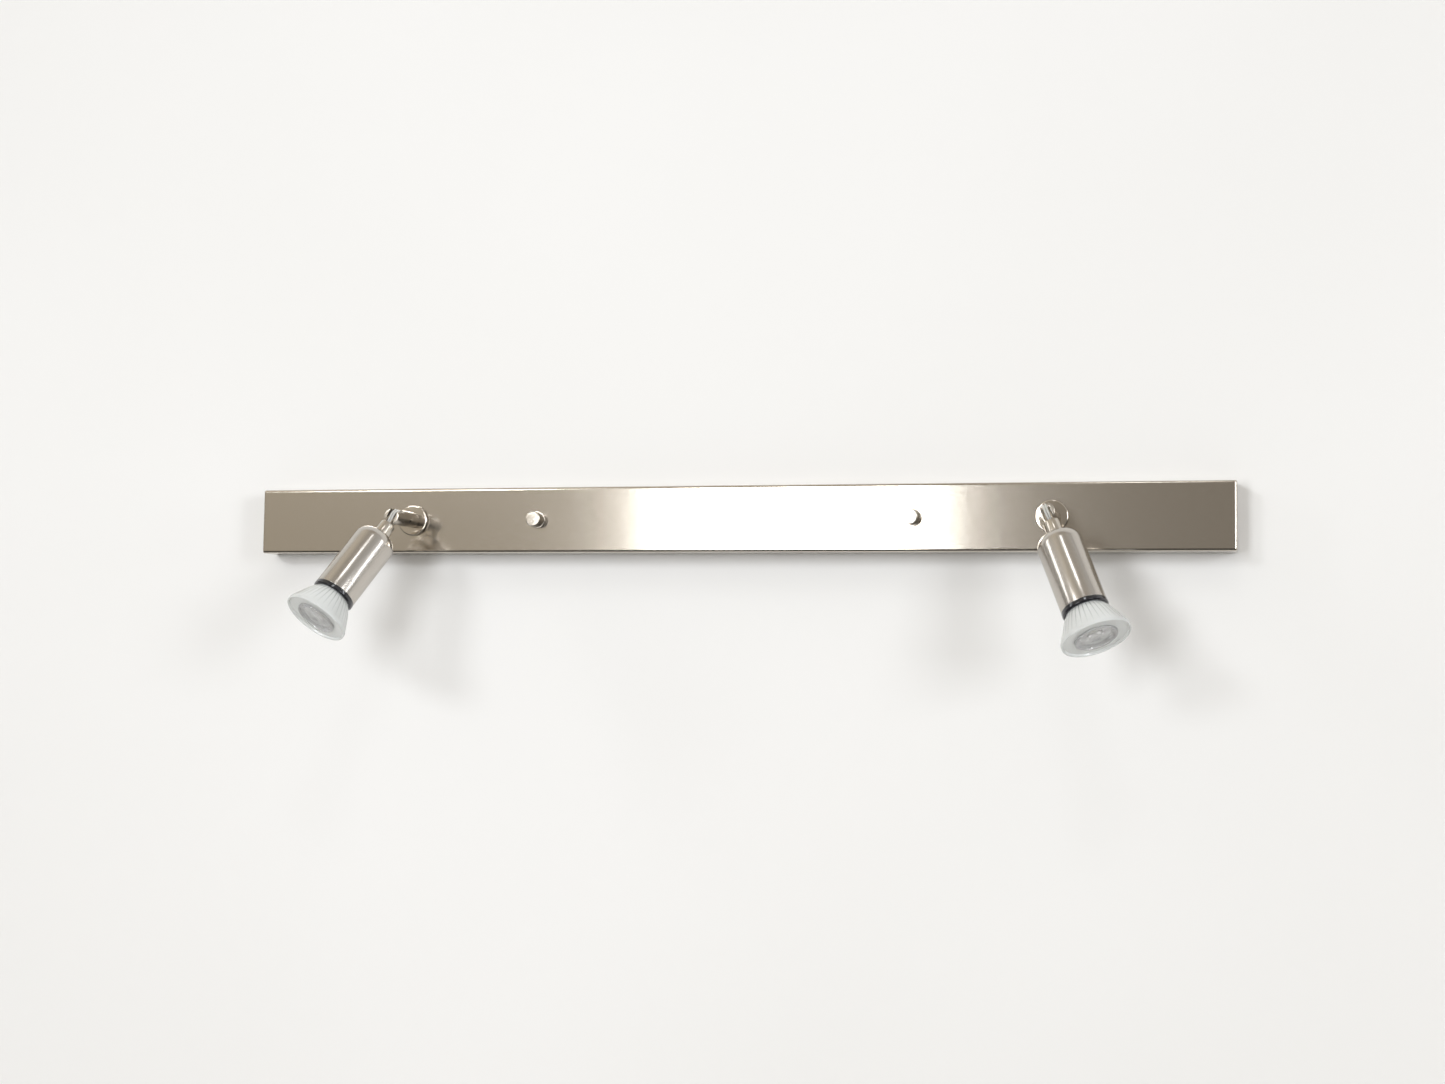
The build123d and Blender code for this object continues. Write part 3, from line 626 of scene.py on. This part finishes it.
# ---------------------------------------------------------------- lamps
class SPOTBAR_OT_arms(bpy.types.Operator):
    """Machine the slotted arms with their screw holes"""
    bl_idname = "spotbar.arms"
    bl_label = "Arms"

    spigot_bore, spigot_depth = 4.55 * MM, 26.3 * MM    # over the flange's spigot
    lead_bore = 2.7 * MM
    pin_bore, pin_end = 1.55 * MM, 5.4 * MM             # pivot screw, and how far it passes the axis
    screw_head, head_floor = 2.8 * MM, 4.6 * MM         # counterbore for the pivot screw's head
    grub_bore = 1.3 * MM
    outside = 8 * MM                                    # past the arm's surface

    def execute(self, context):
        sizes = context.scene.lamp_sizes
        for side in SIDES:
            place = arm_frame(side)
            whole = Span(f"{side}_arm", place)
            grub = Span(f"{side}_grub_screw", place)
            grub_height = (grub.low + grub.high) / 2
            points = rounded([(0, whole.low, 0), (whole.radius, whole.low, 0.5 * MM),
                              (whole.radius, whole.high, 0.6 * MM), (0, whole.high, 0)])
            piece = lathe(f"{side}_arm_rod", points, None, closed=False)
            floor = whole.high - sizes.slot_depth
            self.cut_box(piece, (-0.02, -sizes.slot / 2, floor), (0.02, sizes.slot / 2, whole.high + 0.01))
            across = Matrix.Rotation(math.radians(-90), 4, "X")
            pin = Matrix.Translation((0, 0, pivot_height())) @ across
            grub_hole = Matrix.Translation((0, 0, grub_height)) @ across
            self.cut_bore(piece, self.spigot_bore, 0, self.spigot_depth, Matrix())
            self.cut_bore(piece, self.lead_bore, 0, floor + 1 * MM, Matrix())
            self.cut_bore(piece, self.pin_bore, -self.outside, self.pin_end, pin)
            self.cut_bore(piece, self.screw_head, -self.outside, -self.head_floor, pin)
            self.cut_bore(piece, self.grub_bore, 0, self.outside, grub_hole)
            soften(piece, sizes.edge)
            piece.matrix_world = place
            seat(piece, "nickel", f"{side}_arm_body", f"{side}_arm")
        return {"FINISHED"}

    def cut_box(self, piece, low, high):
        low, high = Vector(low), Vector(high)
        mesh = bmesh.new()
        matrix = Matrix.Translation((high + low) / 2) @ Matrix.Diagonal((*(high - low), 1))
        bmesh.ops.create_cube(mesh, size=1, matrix=matrix)
        cut(piece, finish_mesh("cutter", mesh))

    def cut_bore(self, piece, radius, low, high, matrix):
        mesh = bmesh.new()
        turned(mesh, [(0, low), (radius, low), (radius, high), (0, high)], closed=False, around=48)
        bmesh.ops.transform(mesh, matrix=matrix, verts=mesh.verts)
        cut(piece, finish_mesh("cutter", mesh))


class SPOTBAR_OT_knuckles(bpy.types.Operator):
    """Machine the knuckles: a round eye on a flat tongue, and the neck that holds the sleeve"""
    bl_idname = "spotbar.knuckles"
    bl_label = "Knuckles"

    def execute(self, context):
        sizes = context.scene.lamp_sizes
        for side in SIDES:
            cad = frame["nodes"][f"{side}_knuckle"]
            place = head_frame(side)
            piece = new_object(f"{side}_knuckle_piece", cad.data.copy())
            mesh = bmesh.new()
            mesh.from_mesh(piece.data)
            bmesh.ops.remove_doubles(mesh, verts=mesh.verts, dist=0.002 * MM)
            bmesh.ops.dissolve_limit(mesh, angle_limit=math.radians(0.5), verts=mesh.verts, edges=mesh.edges)
            bmesh.ops.transform(mesh, matrix=place.inverted(), verts=mesh.verts)
            mesh.to_mesh(piece.data)
            mesh.free()
            soften(piece, sizes.edge, angle=40)
            piece.matrix_world = place
            seat(piece, "nickel", f"{side}_head_body", f"{side}_knuckle")
        return {"FINISHED"}


def bent_path(points, bends):
    """A path of straight runs joined by arcs."""
    path = [points[0]]
    for before, here, after, radius in zip(points, points[1:], points[2:], bends):
        inward, outward = (before - here).normalized(), (after - here).normalized()
        half = inward.angle(outward) / 2
        centre = here + (inward + outward).normalized() * (radius / math.sin(half))
        start = here + inward * (radius / math.tan(half)) - centre
        axis = inward.cross(outward).normalized()
        sweep = math.pi - 2 * half
        steps = max(3, math.ceil(math.degrees(sweep) / 6))
        path += [centre + Matrix.Rotation(-sweep * i / steps, 3, axis) @ start for i in range(steps + 1)]
    return path + [points[-1]]


def tube(mesh, path, radius):
    """Adds a round tube with closed ends along a path."""
    around = 20
    tangents = [(b - a).normalized() for a, b in zip(path, path[1:])]
    tangents = [tangents[0]] + [(a + b).normalized() for a, b in zip(tangents, tangents[1:])] + [tangents[-1]]
    normal = tangents[0].orthogonal().normalized()
    rings = []
    for point, tangent in zip(path, tangents):
        normal = (normal - tangent * normal.dot(tangent)).normalized()
        other = tangent.cross(normal)
        rings.append([mesh.verts.new(point + (normal * math.cos(a) + other * math.sin(a)) * radius)
                      for a in (2 * math.pi * i / around for i in range(around))])
    join_loops(mesh, rings)
    mesh.faces.new(rings[0][::-1])
    mesh.faces.new(rings[-1])


def denser(path, step):
    """Adds points along the long runs, so that the tube can bend there."""
    result = [path[0]]
    for a, b in zip(path, path[1:]):
        parts = max(1, math.ceil((b - a).length / step))
        result += [a.lerp(b, i / parts) for i in range(1, parts + 1)]
    return result


class SPOTBAR_OT_leads(bpy.types.Operator):
    """Run the two wires of each lamp from the arm, round the pivot and into the neck"""
    bl_idname = "spotbar.leads"
    bl_label = "Leads"

    turn = 11 * MM                              # from the pivot to where a wire leaves the straight
    spread_start, spread_end = 31 * MM, 40 * MM # where the wires part behind the neck
    end = 45.6 * MM                             # in the holder's holes
    hole_pitch = 10 * MM
    bend = 8 * MM

    def execute(self, context):
        sizes = context.scene.lamp_sizes
        for side in SIDES:
            arm, head = arm_frame(side), head_frame(side)
            whole = Span(f"{side}_leads", arm)
            pivot = head.translation
            out, along, hinge = arm.col[2].to_3d(), head.col[2].to_3d(), head.col[1].to_3d()
            slope = math.asin(sizes.wrap / self.turn)
            half_turn = out.angle(along) / 2 + slope
            corner = (out - along).normalized() * (sizes.wrap / math.cos(half_turn))
            mesh = bmesh.new()
            for lean in (-1, 1):
                near, far = hinge * (lean * sizes.wire_pitch / 2), hinge * (lean * self.hole_pitch / 2)
                points = [out * (whole.low - pivot_height()) + near, out * -self.turn + near, corner + near,
                          along * self.turn + near, along * self.spread_start + near,
                          along * self.spread_end + far, along * self.end + far]
                path = bent_path([pivot + p for p in points],
                                 [self.bend, sizes.wrap, self.bend, self.bend, self.bend])
                tube(mesh, denser(path, 1.2 * MM), sizes.wire)
            piece = finish_mesh(f"{side}_wires", mesh, crease=60)
            piece.data.materials.append(finish_of("lead_silicone"))
            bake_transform(piece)
            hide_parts(f"{side}_leads")
        return {"FINISHED"}


class SPOTBAR_OT_sleeves(bpy.types.Operator):
    """Spin the sleeves with their rounded shoulders"""
    bl_idname = "spotbar.sleeves"
    bl_label = "Sleeves"

    def execute(self, context):
        wall = context.scene.lamp_sizes.wall
        hole, seat_radius, mouth = 5.2 * MM, 6.3 * MM, 20 * MM
        for side in SIDES:
            place = head_frame(side)
            whole = Span(f"{side}_sleeve", place)
            shoulder = whole.radius - seat_radius
            bend = (seat_radius, whole.low + shoulder)
            points = [Vector((hole, whole.low)), *arc(bend, shoulder, -90, 0, 28)]
            points += rounded([(whole.radius, whole.high - mouth, 0), (whole.radius, whole.high, 0.2 * MM),
                               (whole.radius - wall, whole.high, 0.2 * MM),
                               (whole.radius - wall, whole.high - mouth, 0)])
            points += [*arc(bend, shoulder - wall, 0, -90, 28), Vector((hole, whole.low + wall))]
            piece = lathe(f"{side}_sleeve_tube", points, place, around=192)
            seat(piece, "nickel_satin", f"{side}_head_body", f"{side}_sleeve")
        return {"FINISHED"}


class SPOTBAR_OT_trim_rings(bpy.types.Operator):
    """Turn the black rings in the sleeves' mouths"""
    bl_idname = "spotbar.trim_rings"
    bl_label = "Trim rings"

    def execute(self, context):
        for side in SIDES:
            place = head_frame(side)
            ring = Span(f"{side}_trim_ring", place)
            sleeve = Span(f"{side}_sleeve", place)
            inner, insert, edge = 14.65 * MM, 15.45 * MM, 0.8 * MM
            points = rounded([(inner, ring.low, 0), (insert, ring.low, 0), (insert, sleeve.high, 0),
                              (ring.radius, sleeve.high, 0.25 * MM), (ring.radius, ring.high - edge, 0.4 * MM),
                              (ring.radius - edge, ring.high, 0.3 * MM), (inner, ring.high, 0.3 * MM)])
            piece = lathe(f"{side}_trim_ring_band", points, place, around=160)
            seat(piece, "ring_black", f"{side}_head_body", f"{side}_trim_ring")
        return {"FINISHED"}


# ---------------------------------------------------------------- bulbs
def curve_through(points, steps):
    """Smooth points through the given (radius, height) points."""
    ends = [2 * points[0] - points[1], *points, 2 * points[-1] - points[-2]]
    result = []
    for a, b, c, d in zip(ends, ends[1:], ends[2:], ends[3:]):
        for i in range(steps):
            t = i / steps
            result.append(0.5 * (2 * b + (c - a) * t + (2 * a - 5 * b + 4 * c - d) * t ** 2
                                 + (3 * b - a - 3 * c + d) * t ** 3))
    return result + [points[-1]]


class SPOTBAR_OT_bulb_glass(bpy.types.Operator):
    """Press the fluted glass bowls with their flat faces and raised rims"""
    bl_idname = "spotbar.bulb_glass"
    bl_label = "Bulb glass"

    def execute(self, context):
        sizes = context.scene.bulb_sizes
        for side in SIDES:
            place = head_frame(side)
            whole = Span(f"{side}_bulb_shell", place)
            lens = Span(f"{side}_bulb_lens", place)
            top, rim, face = whole.high, whole.high - 2.6 * MM, whole.high - 1.6 * MM
            neck = 11.9 * MM
            socket = lens.radius + 0.05 * MM
            bowl = [Vector(p) for p in ((neck, whole.low), (neck + 1.2 * MM, whole.low + 5.5 * MM),
                                        (neck + 6.3 * MM, whole.low + 13.5 * MM), (whole.radius, rim))]
            cup = [Vector((p.x - sizes.glass, p.y)) for p in bowl[:-1]]
            cup.append(Vector((whole.radius - sizes.glass, face - sizes.glass)))
            outer = curve_through(bowl, 14)
            lip = rounded([(whole.radius, rim, 0), (whole.radius, top, 0.6 * MM),
                           (whole.radius - 1.3 * MM, top, 0.5 * MM), (whole.radius - 1.9 * MM, face, 0.3 * MM),
                           (socket, face, 0.15 * MM), (socket, face - sizes.glass, 0)])
            points = outer + lip[1:] + curve_through(cup, 14)[::-1]
            fluted = {(p.x, p.y) for p in outer}
            low, high = whole.low + 2 * MM, rim - 1 * MM

            def flute(radius, height, angle):
                if height <= low or height >= high or (radius, height) not in fluted:
                    return radius
                ease = math.sin(math.pi * (height - low) / (high - low)) ** 0.5
                rib = abs(math.sin(angle * sizes.flutes / 2)) ** 0.4
                return radius - sizes.flute_depth * ease * (1 - rib)

            piece = lathe(f"{side}_bulb_bowl", points, place, crease=50, around=sizes.flutes * 12, shape=flute)
            seat(piece, "bulb_glass", f"{side}_bulb_body", f"{side}_bulb_shell")
        return {"FINISHED"}


class SPOTBAR_OT_lenses(bpy.types.Operator):
    """Mould the clear optics in the middle of the bulbs' faces"""
    bl_idname = "spotbar.lenses"
    bl_label = "Lenses"

    def execute(self, context):
        groove = context.scene.bulb_sizes.lens_groove
        for side in SIDES:
            place = head_frame(side)
            lens = Span(f"{side}_bulb_lens", place)
            r, top = lens.radius, lens.high
            front = rounded([(0, top - 1.5 * MM, 0), (2.2 * MM, top - 1.3 * MM, 0),
                             (3.4 * MM, top - 0.5 * MM, 0.6 * MM), (6 * MM, top - 0.4 * MM, 2 * MM),
                             (9 * MM, top - 1.1 * MM, 2 * MM), (11.5 * MM, top - groove - 0.7 * MM, 0.8 * MM),
                             (12.9 * MM, top - groove, 0.5 * MM), (13.3 * MM, top, 0.2 * MM),
                             (r, top, 0.8 * MM), (r, top - 4.4 * MM, 0.3 * MM)])
            back = rounded([(11 * MM, lens.low, 0.3 * MM), (5.2 * MM, lens.low, 0.2 * MM),
                            (4.4 * MM, lens.low + 2.5 * MM, 0.8 * MM), (0, lens.low + 3 * MM, 0)])
            piece = lathe(f"{side}_optic", front + back, place, crease=40, closed=False, around=160)
            seat(piece, "bulb_optic", f"{side}_bulb_body", f"{side}_bulb_lens")
        return {"FINISHED"}


# ---------------------------------------------------------------- finishes
class SPOTBAR_OT_finishes(bpy.types.Operator):
    """Make every finish, and give the CAD pieces that stay in view theirs"""
    bl_idname = "spotbar.finishes"
    bl_label = "Finishes"

    def execute(self, context):
        brush_group()
        grain_group()
        painted_shade_group()
        painted_flute_shade_group()
        nickel = context.scene.bar_sizes.nickel
        around, lengthwise = (900.0, 900.0, 9000.0), (150.0, 7000.0, 7000.0)
        up_the_sleeve = (7000.0, 7000.0, 120.0)
        brushed_metal("nickel_bar", nickel, 0.13, lengthwise, contrast=0.03)
        brushed_metal("nickel", nickel, 0.22, around)
        brushed_metal("nickel_satin", context.scene.lamp_sizes.satin, 0.22, up_the_sleeve)
        brushed_metal("nickel_polished", shade(nickel, 1.15), 0.07, around, strength=0.005)
        brushed_metal("steel", (0.55, 0.55, 0.56), 0.3, around)
        grained("zinc_strap", (0.62, 0.64, 0.66), 0.38, metallic=1.0, size=350.0, change=0.16)
        grained("screw_black", (0.025, 0.025, 0.028), 0.35, metallic=0.6)
        brushed_metal("brass", (0.78, 0.57, 0.28), 0.25, around)
        grained("bush_plastic", (0.02, 0.02, 0.022), 0.45)
        grained("block_plastic", (0.80, 0.79, 0.74), 0.4, coat=0.1)
        clear_glass("lead_silicone", (0.93, 0.92, 0.88), 0.2, 0.45)
        grained("lead_white", (0.80, 0.79, 0.76), 0.5)
        grained("holder_ceramic", (0.82, 0.80, 0.75), 0.45, size=1400.0, coat=0.15)
        grained("ring_black", (0.010, 0.010, 0.014), 0.14, coat=0.5, strength=0.04)
        self.fluted_glass(context.scene.bulb_sizes)
        clear_glass("bulb_optic", (0.99, 0.99, 0.99), 0.04, 0.74)
        grained("bulb_plastic", (0.83, 0.84, 0.83), 0.35, coat=0.2)
        grained("heat_sink_aluminium", (0.88, 0.89, 0.88), 0.4, metallic=0.1)
        grained("board_white", (0.85, 0.85, 0.84), 0.4)
        grained("led_yellow", (0.85, 0.76, 0.42), 0.35, size=1600.0, coat=0.3)
        for cad in frame["nodes"].values():
            for place in cad.material_slots:
                place.material = finish_of(place.material.name)
        return {"FINISHED"}

    def fluted_glass(self, sizes):
        """Bright pressed glass with painted shade: thin dark green lines in its flutes, darker where the glass
        is seen edge-on.
        """
        tree, shader, grain = glass_base("bulb_glass", 0.42, 1.45)
        foot = Span("left_trim_ring", head_frame("left")).high
        lines = group_node(tree, bpy.data.node_groups["Painted Flute Shade"], Flutes=sizes.flutes, Foot=foot)
        # The painted shade lines are made darker where the glass is seen edge-on.
        edge = tree.nodes.new("ShaderNodeLayerWeight")
        edge.inputs["Blend"].default_value = 0.45
        drawn = math_node(tree, "MULTIPLY", lines.outputs["Lines"], edge.outputs["Facing"], clamp=True)
        tone = ramp(tree, drawn, (0.0, sizes.pressed_glass), (0.45, sizes.painted_flute_shade))
        tree.links.new(tone, shader.inputs["Base Color"])
        tree.links.new(spread(tree, grain.outputs["Drift"], 0.05, 0.1), shader.inputs["Roughness"])


# ---------------------------------------------------------------- studio
class SPOTBAR_OT_camera(bpy.types.Operator):
    """Place the camera a little below and to the right of the bar, looking up and across"""
    bl_idname = "spotbar.camera"
    bl_label = "Camera"

    place = (0.3831, -1.5027, -0.1228)
    yaw, pitch, roll = math.radians(14.453), math.radians(3.935), math.radians(-0.81)

    def execute(self, context):
        camera = bpy.data.cameras.new("camera")
        camera.lens = context.scene.studio_sizes.lens
        camera.sensor_width = 36.0
        camera.dof.use_dof = False
        holder = new_object("camera", camera)
        level = Matrix.Rotation(math.radians(90), 4, "X")
        aim = Matrix.Rotation(self.yaw, 4, "Z") @ Matrix.Rotation(self.pitch, 4, "X")
        holder.matrix_world = (Matrix.Translation(self.place) @ aim @ Matrix.Rotation(self.roll, 4, "Y")
                               @ level)
        context.scene.camera = holder
        return {"FINISHED"}


class SPOTBAR_OT_studio(bpy.types.Operator):
    """Set up the pale wall and floor and the soft lights"""
    bl_idname = "spotbar.studio"
    bl_label = "Studio"

    def execute(self, context):
        sizes = context.scene.studio_sizes
        self.wall_and_floor(sizes)
        self.lights(sizes)
        self.room(context.scene, sizes)
        context.scene.view_settings.view_transform = "Standard"
        return {"FINISHED"}

    def wall_and_floor(self, sizes):
        """A wall that is open behind the canopy, and a floor, both in squares from their shared corner."""
        corner = Vector((-sizes.wall_reach, 0.4 * MM, -sizes.floor_drop))
        right, forward, up = Vector((1, 0, 0)), Vector((0, -1, 0)), Vector((0, 0, 1))
        wall = self.squares(corner, right, up, 40, 20)
        self.opening(wall)
        floor = self.squares(corner, forward, right, 20, 40)
        paint = self.paint("wall_paint", (0.86, 0.855, 0.84), sizes.paint)
        ground = self.paint("floor_paint", (0.74, 0.735, 0.72), (0.80, 0.795, 0.785), in_metal=0.2)
        for name, mesh, material in (("wall", wall, paint), ("floor", floor, ground)):
            data = bpy.data.meshes.new(name)
            mesh.to_mesh(data)
            mesh.free()
            data.materials.append(material)
            new_object(name, data)

    def squares(self, corner, across, up, columns, rows):
        step = 0.25
        mesh = bmesh.new()
        grid = [[mesh.verts.new(corner + across * (step * i) + up * (step * j)) for i in range(columns + 1)]
                for j in range(rows + 1)]
        for low, high in zip(grid, grid[1:]):
            for i in range(columns):
                mesh.faces.new((low[i], low[i + 1], high[i + 1], high[i]))
        return mesh

    def opening(self, mesh):
        """Cuts the wall away behind the canopy, so that light reaches its open back from behind."""
        margin = 4 * MM
        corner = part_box("canopy")[1]
        half_length, half_height = corner.x - margin, corner.z - margin
        for place in ((half_length, 0, 0), (-half_length, 0, 0), (0, 0, half_height), (0, 0, -half_height)):
            parts = mesh.verts[:] + mesh.edges[:] + mesh.faces[:]
            bmesh.ops.bisect_plane(mesh, geom=parts, plane_co=place, plane_no=Vector(place).normalized())
        inside = [face for face in mesh.faces if abs(face.calc_center_median().x) < half_length
                  and abs(face.calc_center_median().z) < half_height]
        bmesh.ops.delete(mesh, geom=inside, context="FACES")

    def paint(self, name, low, high, in_metal=1.0):
        """Matt paint. Polished metal sees it at the in_metal share of its brightness."""
        tree, shader = bare_material(name)
        grain = group_node(tree, bpy.data.node_groups["Fine Grain"], Size=240.0, Patches=1.5)
        tone = ramp(tree, grain.outputs["Drift"], (0.3, low), (0.7, high))
        view = tree.nodes.new("ShaderNodeLightPath")
        seen = scaled(tree, view.outputs["Is Glossy Ray"], in_metal - 1.0, 1.0)
        dimmed = tree.nodes.new("ShaderNodeVectorMath")
        dimmed.operation = "SCALE"
        tree.links.new(tone, dimmed.inputs[0])
        tree.links.new(seen, dimmed.inputs["Scale"])
        tree.links.new(dimmed.outputs[0], shader.inputs["Base Color"])
        shader.inputs["Roughness"].default_value = 0.9
        bump(tree, shader, grain.outputs["Grain"], 0.05, 0.2 * MM)
        self.one_sided(tree, shader)
        return bpy.data.materials[f"{name}_finish"]

    def one_sided(self, tree, shader):
        """Makes the wall and the floor clear from behind and from below."""
        side = tree.nodes.new("ShaderNodeNewGeometry")
        clear = tree.nodes.new("ShaderNodeBsdfTransparent")
        switch(tree, side.outputs["Backfacing"], shader.outputs["BSDF"], clear.outputs["BSDF"])

    def lights(self, sizes):
        for name, place, aim, width, height, power in (
                ("key_light", (-0.377, -2.0, 0.12), (0.0, 0.0, 0.0), 0.42, 0.9, sizes.key),
                ("left_light", (-1.15, -2.1, 0.75), (0.0, 0.0, -0.1), 0.45, 0.4, 0.7 * sizes.key),
                ("right_light", (2.2, -1.9, 0.3), (0.0, 0.0, -0.1), 0.6, 0.9, 1.35 * sizes.key),
                ("left_strip", (-2.5, -1.1, 1.0), (0.25, -0.1, 0.0), 0.2, 1.2, 0.38 * sizes.key),
                ("right_strip", (2.9, -0.75, 0.6), (-0.25, -0.1, 0.0), 0.22, 1.4, 0.55 * sizes.key),
                ("ceiling_light", (0.3, -1.4, 1.6), (0.0, -0.1, 0.0), 0.25, 0.25, 0.1 * sizes.key),
                ("rear_light", (0.3, 1.6, 1.2), (0.0, 0.0, 0.0), 2.0, 1.0, 0.5 * sizes.key)):
            lamp = bpy.data.lights.new(name, "AREA")
            lamp.shape, lamp.size, lamp.size_y, lamp.energy = "RECTANGLE", width, height, power
            lamp.color = (0.94, 0.965, 1.0)
            holder = new_object(name, lamp)
            holder.location = place
            holder.rotation_mode = "QUATERNION"
            holder.rotation_quaternion = (Vector(aim) - Vector(place)).to_track_quat("-Z", "Y")

    def room(self, scene, sizes):
        """A room that is darker straight in front of the bar. The metal reflects it, and the camera sees
        a plain pale backdrop instead."""
        world = bpy.data.worlds.new("room")
        world.use_nodes = True
        scene.world = world
        tree = world.node_tree
        background = tree.nodes["Background"]
        way = tree.nodes.new("ShaderNodeTexCoord")
        split = tree.nodes.new("ShaderNodeSeparateXYZ")
        tree.links.new(way.outputs["Generated"], split.inputs["Vector"])
        across = ramp(tree, scaled(tree, split.outputs["X"], 0.5, 0.5),
                      (0.0, (0.56, 0.54, 0.51)), (0.27, (0.70, 0.64, 0.54)), (0.48, (0.40, 0.37, 0.33)),
                      (0.6, (0.43, 0.39, 0.34)), (0.8, (0.55, 0.54, 0.52)), (1.0, (0.7, 0.69, 0.68)))
        greys = ((0.0, 0.5), (0.2, 0.12), (0.36, 0.12), (0.46, 0.5), (0.5, 0.56), (0.68, 0.7), (1.0, 1.0))
        upward = ramp(tree, scaled(tree, split.outputs["Z"], 0.5, 0.5),
                      *((place, (grey, grey, grey)) for place, grey in greys))
        total = tree.nodes.new("ShaderNodeVectorMath")
        total.operation = "MULTIPLY"
        tree.links.new(across, total.inputs[0])
        tree.links.new(upward, total.inputs[1])
        tree.links.new(total.outputs[0], background.inputs["Color"])
        background.inputs["Strength"].default_value = sizes.room
        backdrop = tree.nodes.new("ShaderNodeBackground")
        backdrop.inputs["Color"].default_value = (0.8, 0.795, 0.78, 1)
        view = tree.nodes.new("ShaderNodeLightPath")
        switch(tree, view.outputs["Is Camera Ray"], background.outputs["Background"],
               backdrop.outputs["Background"])


class SPOTBAR_PT_panel(bpy.types.Panel):
    """The buttons and sizes of the spotlight bar"""
    bl_idname = "SPOTBAR_PT_panel"
    bl_label = "Spotlight Bar"
    bl_space_type = "VIEW_3D"
    bl_region_type = "UI"
    bl_category = "Spotlight Bar"

    def draw(self, context):
        layout = self.layout
        for group, kind in SETTINGS.items():
            sizes = getattr(context.scene, group)
            box = layout.box()
            box.label(text=kind.__name__)
            for size in kind.__annotations__:
                box.prop(sizes, size)
        for step in OPERATORS:
            layout.operator(step.bl_idname)


OPERATORS = (SPOTBAR_OT_camera, SPOTBAR_OT_finishes, SPOTBAR_OT_canopy, SPOTBAR_OT_cap_nuts, SPOTBAR_OT_flanges,
             SPOTBAR_OT_arms, SPOTBAR_OT_knuckles, SPOTBAR_OT_leads, SPOTBAR_OT_sleeves, SPOTBAR_OT_trim_rings,
             SPOTBAR_OT_bulb_glass, SPOTBAR_OT_lenses, SPOTBAR_OT_studio)
CLASSES = (*SETTINGS.values(), *OPERATORS, SPOTBAR_PT_panel)


def register():
    for kind in CLASSES:
        bpy.utils.register_class(kind)
    for name, kind in SETTINGS.items():
        setattr(bpy.types.Scene, name, bpy.props.PointerProperty(type=kind))


def unregister():
    for name in SETTINGS:
        delattr(bpy.types.Scene, name)
    for kind in reversed(CLASSES):
        bpy.utils.unregister_class(kind)


def main():
    register()
    for step in OPERATORS:
        name = step.bl_idname.split(".")[1]
        result = getattr(bpy.ops.spotbar, name)()
        if result != {"FINISHED"}:
            raise RuntimeError(f"{step.bl_label} did not finish")


if __name__ == "__main__":
    main()
